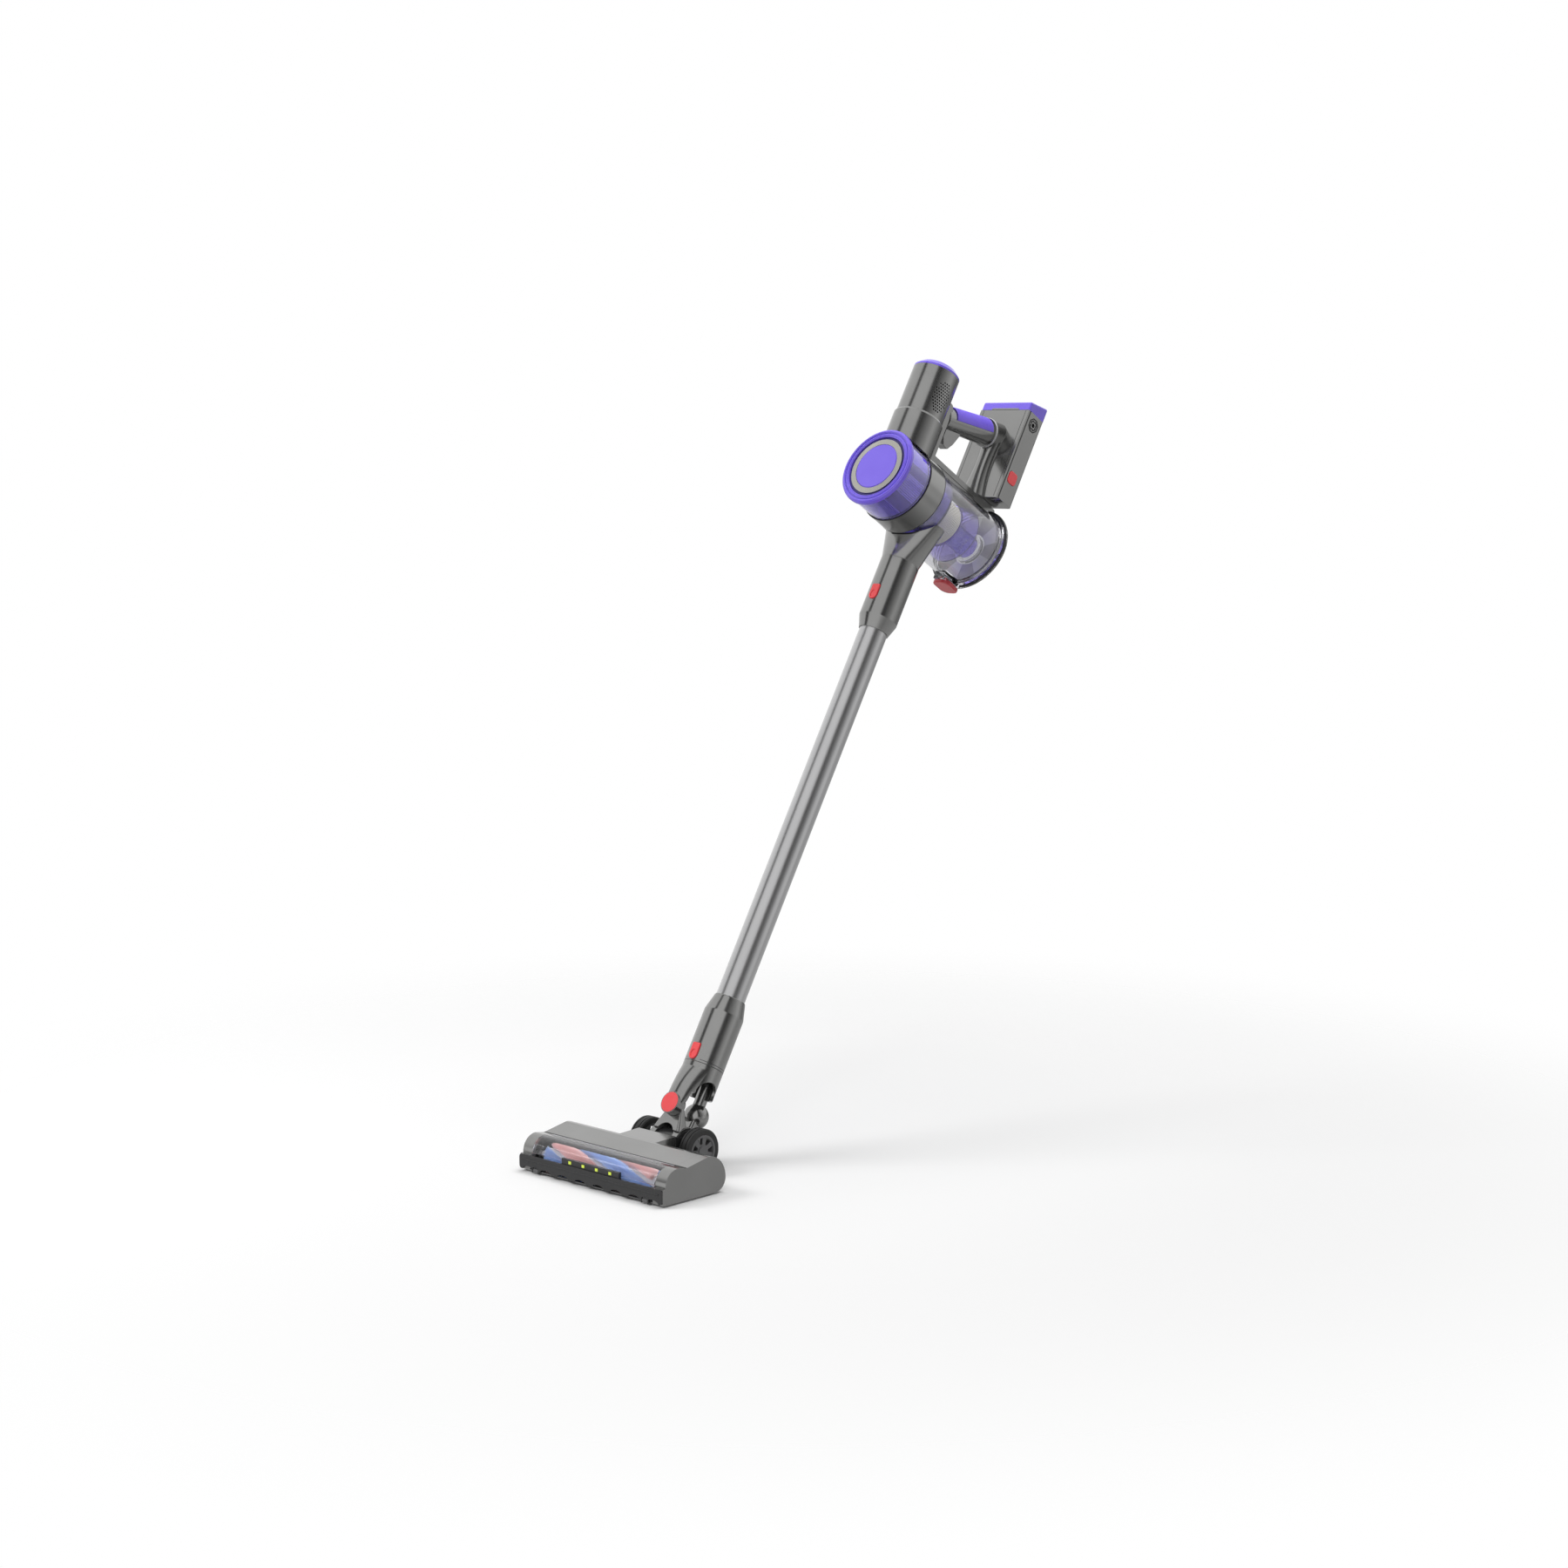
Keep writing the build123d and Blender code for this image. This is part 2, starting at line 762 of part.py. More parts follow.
# Wheels on stub axles, and the cradle that holds the neck
wheel_outer = wheel_track / 2 + wheel_width / 2
axle_inner = barrel_half_width - barrel_wall - 1
axle_outer = wheel_outer - hub_face - slide_gap
with BuildPart() as wheel_axles:
    for sign in (-1, 1):
        with BuildSketch(axle.offset(sign * axle_inner)):
            Circle(axle_radius)
        extrude(amount=sign * (axle_outer - axle_inner))
wheel_axles.part.label = "wheel_axles"
export_step(wheel_axles.part, "parts/wheel_axles.step")

for side, sign in sides:
    wheel = axle.offset(sign * wheel_track / 2)
    wheel_face = wheel.offset(sign * wheel_width / 2)
    with BuildPart() as rim:
        with BuildSketch(wheel):
            Circle(rim_radius)
            Circle(rim_radius - rim_band, mode=Mode.SUBTRACT)
            Circle(hub_radius)
        extrude(amount=wheel_width / 2, both=True)
        with BuildSketch(wheel_face.offset(-sign * rim_recess)):
            Circle(rim_radius - rim_band / 2)
            with PolarLocations(slot_reach, spoke_slots):
                Polygon(
                    (-slot_half_length, -slot_inner_half),
                    (slot_half_length, -slot_outer_half),
                    (slot_half_length, slot_outer_half),
                    (-slot_half_length, slot_inner_half),
                    align=None,
                    mode=Mode.SUBTRACT,
                )
        extrude(amount=-sign * rim_web)
        with BuildSketch(wheel_face.offset(-sign * hub_face)):
            Circle(axle_radius + pin_gap)
        extrude(amount=-sign * wheel_width, mode=Mode.SUBTRACT)
    rim.part.label = f"rim_{side}"
    export_step(rim.part, f"parts/rim_{side}.step")

    with BuildPart() as tyre:
        with BuildSketch(Plane(origin=wheel.origin, x_dir=side_dir, z_dir=(0, -1, 0))):
            Polygon(
                (-wheel_width / 2, rim_radius + pin_gap),
                (-wheel_width / 2, wheel_radius - tyre_bevel),
                (-wheel_width / 2 + tyre_bevel, wheel_radius),
                (-wheel_width / 4, wheel_radius),
                (-wheel_width / 4, wheel_radius - tyre_groove),
                (-wheel_width / 4 + tyre_groove, wheel_radius - tyre_groove),
                (-wheel_width / 4 + tyre_groove, wheel_radius),
                (wheel_width / 4 - tyre_groove, wheel_radius),
                (wheel_width / 4 - tyre_groove, wheel_radius - tyre_groove),
                (wheel_width / 4, wheel_radius - tyre_groove),
                (wheel_width / 4, wheel_radius),
                (wheel_width / 2 - tyre_bevel, wheel_radius),
                (wheel_width / 2, wheel_radius - tyre_bevel),
                (wheel_width / 2, rim_radius + pin_gap),
                align=None,
            )
        revolve(axis=axle_axis)
    tyre.part.label = f"tyre_{side}"
    export_step(tyre.part, f"parts/tyre_{side}.step")

ear_inner = stem_half_width - ear_thickness
with BuildPart() as rear_cradle:
    for sign in (-1, 1):
        with BuildSketch(head_side.offset(sign * ear_inner)):
            with Locations((0, axle_height)):
                Circle(ear_radius)
            with Locations((-stem_back, (stem_floor + stem_height) / 2)):
                Rectangle(2, stem_height - stem_floor - 2, align=(Align.MIN, Align.CENTER))
            make_hull()
        extrude(amount=sign * ear_thickness)
        with BuildSketch(axle.offset(sign * ear_inner)):
            Circle(axle_radius + pin_gap)
        extrude(amount=sign * ear_thickness, mode=Mode.SUBTRACT)
    with BuildSketch(head_side):
        with Locations((-stem_back, stem_floor)):
            Rectangle(2, stem_wall, align=Align.MIN)
    extrude(amount=stem_half_width, both=True)
rear_cradle.part.label = "rear_cradle"
export_step(rear_cradle.part, "parts/rear_cradle.step")

# Swivel neck: a barrel on the axle, a front arm on the roll pin and a ball for the air duct behind
with BuildPart() as neck_barrel:
    with BuildSketch(axle):
        Circle(barrel_radius)
    extrude(amount=barrel_half_width, both=True)
    with BuildSketch(axle):
        Circle(barrel_radius - barrel_wall)
    extrude(amount=barrel_half_width - barrel_wall, both=True, mode=Mode.SUBTRACT)
    with BuildSketch(axle):
        Circle(axle_radius + pin_gap)
    extrude(amount=barrel_half_width, both=True, mode=Mode.SUBTRACT)
    with BuildSketch(head_front):
        with Locations((0, axle_height)):
            Rectangle(2 * (barrel_half_width - 2 * barrel_wall), barrel_radius)
    extrude(amount=2 * barrel_radius, mode=Mode.SUBTRACT)
neck_barrel.part.label = "neck_barrel"
export_step(neck_barrel.part, "parts/neck_barrel.step")

ball = Plane(
    origin=wand.from_local_coords((0, ball_offset, roll_rise)), x_dir=side_dir, z_dir=wand_dir
)
with BuildPart() as swivel_neck:
    with BuildSketch(axle):
        Circle(barrel_radius + neck_wall)
    extrude(amount=neck_half_width, both=True)
    with BuildSketch(wand.offset(barrel_radius * 0.6)):
        with Locations((0, -barrel_radius * 0.65)):
            RectangleRounded(2 * neck_half_width - 1, barrel_radius * 0.9, 4)
    with BuildSketch(wand.offset(roll_rise)):
        with Locations((0, -(boss_back + ear_back) / 2)):
            RectangleRounded(2 * (boss_radius - ear_inset), boss_back - ear_back - 1, ear_inset / 2)
    loft()
    with Locations(roll.offset(-boss_back + slide_gap)):
        Cylinder(
            boss_radius - ear_inset,
            boss_back - ear_back - slide_gap,
            align=(Align.CENTER, Align.CENTER, Align.MIN),
        )
    with BuildSketch(wand.offset(barrel_radius * 0.6)):
        with Locations((0, barrel_radius * 0.65)):
            RectangleRounded(1.5 * ball_radius, barrel_radius * 0.9, 4)
    with BuildSketch(wand.offset(roll_rise)):
        with Locations((0, ball_offset)):
            RectangleRounded(1.3 * ball_radius, 1.3 * ball_radius, 4)
    loft()
    with Locations(ball):
        Sphere(ball_radius)
    with BuildSketch(axle):
        Circle(barrel_radius + pin_gap)
    extrude(amount=2 * barrel_half_width, both=True, mode=Mode.SUBTRACT)
    with BuildSketch(wand_side):
        with Locations((0, -2)):
            Rectangle(
                4 * barrel_radius,
                4 * barrel_radius,
                align=(Align.CENTER, Align.MAX),
            )
    extrude(amount=2 * barrel_half_width, both=True, mode=Mode.SUBTRACT)
    with BuildSketch(wand_front):
        with Locations((0, barrel_radius * 0.25)):
            Circle(arch_radius)
    extrude(amount=3 * barrel_radius, mode=Mode.SUBTRACT)
    with Locations(roll.offset(-boss_back + slide_gap)):
        Cylinder(
            boss_radius + slide_gap,
            boss_front,
            align=(Align.CENTER, Align.CENTER, Align.MAX),
            mode=Mode.SUBTRACT,
        )
        Cylinder(
            roll_pin_radius + pin_gap,
            boss_back - ear_back,
            align=(Align.CENTER, Align.CENTER, Align.MIN),
            mode=Mode.SUBTRACT,
        )
swivel_neck.part.label = "swivel_neck"
export_step(swivel_neck.part, "parts/swivel_neck.step")

# Coupling: yoke that rolls on the neck, its red hinge cap, and the sleeve that takes the wand
yoke_cut = boss_radius + slide_gap + 6
with BuildPart() as coupling_yoke:
    with BuildSketch(wand.offset(yoke_bottom)):
        Circle(sleeve_radius)
    extrude(amount=yoke_top - yoke_bottom)
    with BuildSketch(wand.offset(yoke_top - yoke_shoulder)):
        Circle(sleeve_radius)
    with BuildSketch(wand.offset((yoke_top + roll_rise) / 2 - yoke_waist_drop)):
        with Locations((0, -boss_radius)):
            Ellipse(sleeve_radius - yoke_waist_inset, sleeve_radius - yoke_waist_inset - 1)
    with BuildSketch(wand.offset(roll_rise)):
        with Locations((0, -(boss_front + boss_back) / 2)):
            Ellipse(boss_radius, (boss_front - boss_back) / 2)
    loft()
    with Locations(roll.offset(-boss_back)):
        Cylinder(
            boss_radius,
            boss_front - boss_back,
            align=(Align.CENTER, Align.CENTER, Align.MAX),
        )
    with BuildSketch(wand.offset(yoke_bottom - 1)):
        Circle(yoke_bore)
    extrude(amount=yoke_top, mode=Mode.SUBTRACT)
    with BuildSketch(wand_side):
        with Locations((-boss_back, roll_rise + yoke_cut)):
            Rectangle(4 * boss_back, 4 * boss_back, align=(Align.MIN, Align.MAX))
    extrude(amount=2 * sleeve_radius, both=True, mode=Mode.SUBTRACT)
    with BuildSketch(wand_side):
        with Locations((-1, roll_rise + yoke_cut + 4)):
            Circle(ball_radius)
    extrude(amount=2 * sleeve_radius, both=True, mode=Mode.SUBTRACT)
    with Locations(roll.offset(-boss_back)):
        Cylinder(
            roll_pin_radius,
            boss_back - ear_back - slide_gap,
            align=(Align.CENTER, Align.CENTER, Align.MIN),
        )
    with Locations(roll.offset(-boss_front + hinge_cap_depth)):
        Cylinder(
            hinge_cap_radius + pin_gap,
            boss_front,
            align=(Align.CENTER, Align.CENTER, Align.MAX),
            mode=Mode.SUBTRACT,
        )
    with BuildSketch(wand.offset(roll_rise)):
        with Locations((0, duct_offset)):
            Circle(duct_radius)
    extrude(amount=yoke_top - roll_rise)
    with BuildSketch(wand.offset(yoke_top - shell_wall)):
        Circle(sleeve_radius - 1)
    extrude(amount=shell_wall)
    with BuildSketch(wand.offset(roll_rise)):
        with Locations((0, duct_offset)):
            Circle(duct_bore)
    extrude(amount=yoke_top, mode=Mode.SUBTRACT)
    with Locations(ball.origin):
        Sphere(ball_radius + slide_gap, mode=Mode.SUBTRACT)
coupling_yoke.part.label = "coupling_yoke"
export_step(coupling_yoke.part, "parts/coupling_yoke.step")

with BuildPart() as hinge_cap:
    with Locations(roll.offset(-boss_front + hinge_cap_depth)):
        Cylinder(
            hinge_cap_radius,
            hinge_cap_depth + slide_gap,
            align=(Align.CENTER, Align.CENTER, Align.MAX),
        )
hinge_cap.part.label = "hinge_cap"
export_step(hinge_cap.part, "parts/hinge_cap.step")

head_button_rise = sleeve_top - head_button_drop
with BuildPart() as coupling_sleeve:
    with BuildSketch(wand_side):
        Polygon(
            (airway_radius, yoke_top),
            (sleeve_radius - edge_break, yoke_top),
            (sleeve_radius, yoke_top + edge_break),
            (sleeve_radius, sleeve_top - cone_length),
            (wand_radius + rim_width + lip_break, sleeve_top - 1),
            (wand_radius + rim_width, sleeve_top),
            (wand_radius + pin_gap, sleeve_top),
            (wand_radius + pin_gap, wand_bottom),
            (airway_radius, wand_bottom),
            align=None,
        )
    revolve(axis=wand_axis)
    with BuildSketch(wand_front.offset(pocket_floor)):
        with Locations((0, head_button_rise)):
            add(button_pocket.sketch)
    extrude(amount=sleeve_radius, mode=Mode.SUBTRACT)
coupling_sleeve.part.label = "coupling_sleeve"
export_step(coupling_sleeve.part, "parts/coupling_sleeve.step")

with BuildPart() as head_button:
    with BuildSketch(wand_front.offset(button_face - button_thickness)):
        with Locations((0, head_button_rise)):
            add(button_outline.sketch)
    extrude(amount=button_thickness)
    fillet(head_button.faces().sort_by(Axis(wand.origin, -across_dir))[-1].edges(), button_round)
    with BuildSketch(wand_front.offset(button_face)):
        with Locations((0, head_button_rise - dimple_drop)):
            Ellipse(dimple_half_width, dimple_half_height)
    extrude(amount=-dimple_depth, mode=Mode.SUBTRACT)
head_button.part.label = "head_button"
export_step(head_button.part, "parts/head_button.step")

# Wand: a thin metal tube with a wire conduit inside
with BuildPart() as wand_tube:
    with BuildSketch(wand.offset(wand_bottom + slide_gap)):
        Circle(wand_radius)
        Circle(wand_radius - wand_wall, mode=Mode.SUBTRACT)
    extrude(amount=wand_top - wand_bottom - 2 * slide_gap)
wand_tube.part.label = "wand_tube"
export_step(wand_tube.part, "parts/wand_tube.step")

with BuildPart() as wand_conduit:
    with BuildSketch(wand.offset(wand_bottom + 1)):
        with Locations((0, wand_radius - wand_wall - conduit_radius - pin_gap)):
            Circle(conduit_radius)
    extrude(amount=wand_top - wand_bottom - 2)
wand_conduit.part.label = "wand_conduit"
export_step(wand_conduit.part, "parts/wand_conduit.step")

# Handheld unit: inlet connector with the wand socket, flaring onto the bin
with BuildPart() as inlet_connector:
    with BuildSketch(hand_side):
        Polygon(
            (0, -inlet_rise),
            (wand_radius + rim_width, -inlet_rise),
            (wand_radius + rim_width + lip_break, -inlet_rise + 1),
            (sleeve_radius, -inlet_rise + cone_length - 4),
            (sleeve_radius, inlet_flare_start - edge_break),
            (sleeve_radius - edge_break, inlet_flare_start),
            (0, inlet_flare_start),
            align=None,
        )
    revolve(axis=wand_axis)
    with BuildSketch(hand.offset(inlet_flare_start)):
        Circle(sleeve_radius - lip_break)
    with BuildSketch(hand.offset(inlet_flare_end)):
        with Locations((0, flare_offset)):
            Ellipse(flare_half_width, flare_depth)
    loft()
    with Locations(cyclone.offset(collar_back)):
        Cylinder(
            collar_radius + seat_gap,
            2 * collar_radius,
            align=(Align.CENTER, Align.CENTER, Align.MAX),
            mode=Mode.SUBTRACT,
        )
        Cylinder(
            bin_radius + seat_gap,
            2 * collar_radius,
            align=(Align.CENTER, Align.CENTER, Align.MIN),
            mode=Mode.SUBTRACT,
        )
    with BuildSketch(hand.offset(-inlet_rise)):
        Circle(wand_radius + pin_gap)
    extrude(amount=socket_depth, mode=Mode.SUBTRACT)
    with BuildSketch(hand.offset(-inlet_rise)):
        Circle(airway_radius)
    extrude(amount=inlet_rise, mode=Mode.SUBTRACT)
    with BuildSketch(hand_front.offset(pocket_floor)):
        with Locations((0, -inlet_rise + wand_button_rise)):
            add(button_pocket.sketch)
    extrude(amount=sleeve_radius, mode=Mode.SUBTRACT)
inlet_connector.part.label = "inlet_connector"
export_step(inlet_connector.part, "parts/inlet_connector.step")

with BuildPart() as wand_button:
    with BuildSketch(hand_front.offset(button_face - button_thickness)):
        with Locations((0, -inlet_rise + wand_button_rise)):
            add(button_outline.sketch)
    extrude(amount=button_thickness)
    fillet(wand_button.faces().sort_by(Axis(wand.origin, -across_dir))[-1].edges(), button_round)
    with BuildSketch(hand_front.offset(button_face)):
        with Locations((0, -inlet_rise + wand_button_rise - dimple_drop)):
            Ellipse(dimple_half_width, dimple_half_height)
    extrude(amount=-dimple_depth, mode=Mode.SUBTRACT)
wand_button.part.label = "wand_button"
export_step(wand_button.part, "parts/wand_button.step")

# Handheld unit: grey collar between the cartridge and the bin
with BuildPart() as bin_collar:
    with BuildSketch(hand_side):
        Polygon(
            (collar_front, collar_radius - collar_wall),
            (collar_front, collar_radius - edge_break),
            (collar_front + edge_break, collar_radius),
            (collar_back - edge_break, collar_radius),
            (collar_back, collar_radius - edge_break),
            (collar_back, bulkhead_bore),
            (collar_back - bulkhead, bulkhead_bore),
            (collar_back - bulkhead, collar_radius - collar_wall),
            align=None,
        )
    revolve(axis=cyclone_axis)
bin_collar.part.label = "bin_collar"
export_step(bin_collar.part, "parts/bin_collar.step")

# Dust bin: clear cylinder with a rear flange, the inlet port and the bracket of the catch
bin_front = collar_back + seat_gap
bracket_top = -bin_radius + bin_wall / 2
catch_top = -bracket_drop - slide_gap
slot_half_width = catch_tongue_half_width + slide_gap
with BuildPart() as dust_bin:
    with BuildSketch(hand_side):
        Polygon(
            (bin_front, bin_radius - bin_wall),
            (bin_front, bin_radius),
            (bin_back - bin_flange_length - 2, bin_radius),
            (bin_back - bin_flange_length, bin_flange_radius),
            (bin_back, bin_flange_radius),
            (bin_back, bin_radius - bin_wall),
            align=None,
        )
    revolve(axis=cyclone_axis)
    with BuildSketch(hand_side):
        with Locations((bracket_front, -bracket_drop)):
            Rectangle(
                bin_back - bracket_front, bracket_drop + bracket_top, align=Align.MIN
            )
    extrude(amount=bracket_half_width, both=True)
    with BuildSketch(hand.offset(-bracket_drop)):
        with Locations((0, (catch_front + bin_back) / 2)):
            Rectangle(2 * slot_half_width, bin_back - catch_front - catch_tongue)
    extrude(amount=catch_tongue + slide_gap, mode=Mode.SUBTRACT)
    with BuildSketch(hand):
        Circle(airway_radius)
    extrude(amount=-bin_radius, mode=Mode.SUBTRACT)
dust_bin.part.label = "dust_bin"
export_step(dust_bin.part, "parts/dust_bin.step")

# Cyclone core: collar, centre tube and dish in one, with the steel shroud between
with BuildPart() as cyclone_core:
    with BuildSketch(hand_side):
        Polygon(
            (bin_front, tube_radius - tube_wall),
            (tube_back, tube_radius - tube_wall),
            (tube_back, tube_radius),
            (bin_front, tube_radius),
            align=None,
        )
        Polygon(
            (bin_front, tube_radius - tube_wall),
            (bin_front, core_collar_radius),
            (core_collar_back, core_collar_radius),
            (core_collar_back, tube_radius - tube_wall),
            (core_collar_back - core_collar_wall, tube_radius - tube_wall),
            (core_collar_back - core_collar_wall, core_collar_radius - core_collar_wall),
            (bin_front + core_collar_wall, core_collar_radius - core_collar_wall),
            (bin_front + core_collar_wall, tube_radius - tube_wall),
            align=None,
        )
        Polygon(
            (mesh_back, tube_radius - tube_wall),
            (mesh_back, mesh_radius + dish_wall),
            (dish_back, dish_radius),
            (dish_back, dish_radius - dish_wall),
            (mesh_back + dish_wall, mesh_radius),
            (mesh_back + dish_wall, tube_radius - tube_wall),
            align=None,
        )
    revolve(axis=cyclone_axis)
cyclone_core.part.label = "cyclone_core"
export_step(cyclone_core.part, "parts/cyclone_core.step")

with BuildPart() as shroud_mesh:
    with BuildSketch(cyclone.offset(core_collar_back)):
        Circle(mesh_radius)
        Circle(mesh_radius - mesh_wall, mode=Mode.SUBTRACT)
    extrude(amount=mesh_back - core_collar_back)
shroud_mesh.part.label = "shroud_mesh"
export_step(shroud_mesh.part, "parts/shroud_mesh.step")

# Bin lid with its seal, hung from a pin under the battery
seal_front = bin_back + slide_gap
lid_front = seal_front + seal_thickness
lid_back = lid_front + lid_thickness
hinge_across = lid_back - 0.6
notch_half_width = beam_half_width + slide_gap + 0.1
with BuildPart() as bin_lid:
    with BuildSketch(hand_side):
        Polygon(
            (lid_front, 0),
            (lid_front, lid_ring_radius - lid_ring_wall),
            (lid_front - lid_ring_reach, lid_ring_radius - lid_ring_wall),
            (lid_front - lid_ring_reach, lid_ring_radius),
            (lid_front, lid_ring_radius),
            (lid_front, lid_radius - 0.5),
            (lid_front + 0.5, lid_radius),
            (lid_back - 1.5, lid_radius),
            (lid_back, lid_radius - 3),
            (lid_back, 0),
            align=None,
        )
    revolve(axis=cyclone_axis)
    with BuildSketch(hand_side):
        with Locations((lid_front - 1, lid_notch_rise)):
            Rectangle(4 * lid_thickness, lid_radius, align=Align.MIN)
    extrude(amount=notch_half_width, both=True, mode=Mode.SUBTRACT)
    with BuildSketch(hand_side):
        with Locations((lid_front, lid_notch_rise - 3)):
            Rectangle(lid_thickness, lid_hinge_rise - lid_notch_rise + 3, align=Align.MIN)
        with Locations((hinge_across, lid_hinge_rise)):
            Circle(knuckle_radius)
    extrude(amount=knuckle_half_width, both=True)
    with BuildSketch(hand_side):
        with Locations((hinge_across, lid_hinge_rise)):
            Circle(lid_pin_radius)
    extrude(amount=beam_half_width - 0.2, both=True)
bin_lid.part.label = "bin_lid"
export_step(bin_lid.part, "parts/bin_lid.step")

with BuildPart() as lid_seal:
    with BuildSketch(cyclone.offset(seal_front)):
        Circle(lid_radius - seal_step)
        Circle(seal_inner_radius, mode=Mode.SUBTRACT)
        with Locations((0, -lid_notch_rise)):
            Rectangle(
                2 * notch_half_width,
                lid_radius,
                align=(Align.CENTER, Align.MAX),
                mode=Mode.SUBTRACT,
            )
    extrude(amount=seal_thickness)
lid_seal.part.label = "lid_seal"
export_step(lid_seal.part, "parts/lid_seal.step")

with BuildPart() as lid_catch:
    with BuildSketch(hand.offset(catch_top)):
        with Locations((0, (catch_front + catch_back) / 2)):
            RectangleRounded(2 * catch_half_width, catch_back - catch_front, catch_round)
    extrude(amount=-catch_thickness)
    fillet(lid_catch.faces().sort_by(Axis(hand.origin, wand_dir))[0].edges(), catch_edge)
    with BuildSketch(hand.offset(catch_top)):
        with Locations((0, (catch_front + bin_back) / 2)):
            Rectangle(
                2 * catch_tongue_half_width,
                bin_back - catch_front - catch_tongue - 2 * (catch_travel + slide_gap),
            )
    extrude(amount=catch_tongue)
lid_catch.part.label = "lid_catch"
export_step(lid_catch.part, "parts/lid_catch.step")

# Filter cartridge: purple cap, silver ring, clear purple band and the pleated filter
with BuildPart() as filter_cap:
    with BuildSketch(hand_side):
        Polygon(
            (badge_disc_front, 0),
            (badge_disc_front, badge_disc_radius - 1),
            (badge_disc_front + 1, badge_disc_radius),
            (cap_inner_face, badge_disc_radius),
            (cap_inner_face, cap_well_radius),
            (cap_front, cap_well_radius + 0.5),
            (cap_front, cap_line_radius),
            (cap_front + cap_line, cap_line_radius),
            (cap_front + cap_line, cap_line_radius + cap_line),
            (cap_front, cap_line_radius + cap_line),
            (cap_front, cap_radius - 2),
            (cap_front + edge_break, cap_radius - edge_break),
            (cap_front + 2, cap_radius),
            (cap_back - edge_break, cap_radius),
            (cap_back, cap_radius - edge_break),
            (cap_back, 0),
            align=None,
        )
    revolve(axis=cyclone_axis)
filter_cap.part.label = "filter_cap"
export_step(filter_cap.part, "parts/filter_cap.step")

with BuildPart() as badge_ring:
    with BuildSketch(hand_side):
        Polygon(
            (cap_inner_face, badge_disc_radius + seat_gap),
            (cap_front - lip_break, badge_disc_radius + seat_gap),
            (cap_front, badge_ring_radius),
            (cap_inner_face, badge_ring_radius),
            align=None,
        )
    revolve(axis=cyclone_axis)
badge_ring.part.label = "badge_ring"
export_step(badge_ring.part, "parts/badge_ring.step")

with BuildPart() as filter_ring:
    with BuildSketch(cyclone.offset(cap_back)):
        Circle(ring_radius)
        Circle(ring_radius - ring_wall, mode=Mode.SUBTRACT)
    extrude(amount=collar_front - cap_back - slide_gap)
filter_ring.part.label = "filter_ring"
export_step(filter_ring.part, "parts/filter_ring.step")

filter_back = collar_front - 2 * slide_gap
pleat_pitch = (filter_back - cap_back) / pleats
with BuildPart() as hepa_filter:
    with BuildSketch(hand_side):
        outline = [(filter_back, filter_bore), (cap_back, filter_bore)]
        for pleat in range(pleats):
            start = cap_back + pleat * pleat_pitch
            outline.append((start, pleat_radius - pleat_depth))
            outline.append((start + pleat_pitch / 2, pleat_radius))
        outline.append((filter_back, pleat_radius - pleat_depth))
        Polygon(*outline, align=None)
    revolve(axis=cyclone_axis)
hepa_filter.part.label = "hepa_filter"
export_step(hepa_filter.part, "parts/hepa_filter.step")

# Suction motor housing with its vents, the cap with its tail down the back, and the inside parts
with BuildPart() as motor_housing:
    with BuildSketch(motor_side):
        Polygon(
            (0, cap_radius / 2),
            (motor_lower_radius, cap_radius / 2),
            (motor_lower_radius, motor_step - motor_bevel),
            (motor_upper_radius, motor_step + motor_bevel),
            (motor_upper_radius, motor_top),
            (motor_upper_radius - motor_wall, motor_top),
            (motor_upper_radius - motor_wall, motor_floor),
            (0, motor_floor),
            align=None,
        )
    revolve(axis=motor_axis)
    with Locations(cyclone.offset(collar_front)):
        Cylinder(
            cap_radius + slide_gap,
            2 * cap_radius,
            align=(Align.CENTER, Align.CENTER, Align.MAX),
            mode=Mode.SUBTRACT,
        )
        Cylinder(
            collar_radius + seat_gap,
            2 * cap_radius,
            align=(Align.CENTER, Align.CENTER, Align.MIN),
            mode=Mode.SUBTRACT,
        )
    vents = []
    for sign in (-1, 1):
        for row in range(vent_rows):
            for column in range(vent_columns):
                reach = abs(2 * column / (vent_columns - 1) - 1) + abs(2 * row / (vent_rows - 1) - 1)
                if reach > vent_corner:
                    continue
                turn = radians(vent_first_turn - vent_turn * (column + (row % 2) / 2))
                outward = Vector(sign * cos(turn), 0, 0) - across_dir * sin(turn)
                station = motor.from_local_coords((0, 0, vent_low + row * vent_row_pitch))
                vents.append(Plane(origin=station, x_dir=wand_dir, z_dir=outward))
    with BuildSketch(*vents):
        Circle(vent_radius)
    extrude(amount=motor_lower_radius, mode=Mode.SUBTRACT)
motor_housing.part.label = "motor_housing"
export_step(motor_housing.part, "parts/motor_housing.step")

with BuildPart() as motor_cap:
    with BuildSketch(motor_side):
        Polygon(
            (0, motor_top),
            (motor_upper_radius, motor_top),
            (motor_upper_radius, motor_top + motor_cap_height - motor_cap_bevel),
            (motor_upper_radius - motor_cap_bevel, motor_top + motor_cap_height),
            (0, motor_top + motor_cap_height),
            align=None,
        )
    revolve(axis=motor_axis)
    for rise, reach, inner in (
        (post_top + seat_gap, motor_top, motor_upper_radius + seat_gap),
        (motor_top, motor_top + motor_cap_height - motor_cap_bevel, motor_upper_radius - cap_tail_thickness),
    ):
        with BuildSketch(motor.offset(rise)):
            Circle(motor_upper_radius + cap_tail_thickness)
            Circle(inner, mode=Mode.SUBTRACT)
            Rectangle(
                2 * cap_tail_half_width,
                2 * motor_upper_radius,
                align=(Align.CENTER, Align.MIN),
                mode=Mode.INTERSECT,
            )
        extrude(amount=reach - rise)
motor_cap.part.label = "motor_cap"
export_step(motor_cap.part, "parts/motor_cap.step")

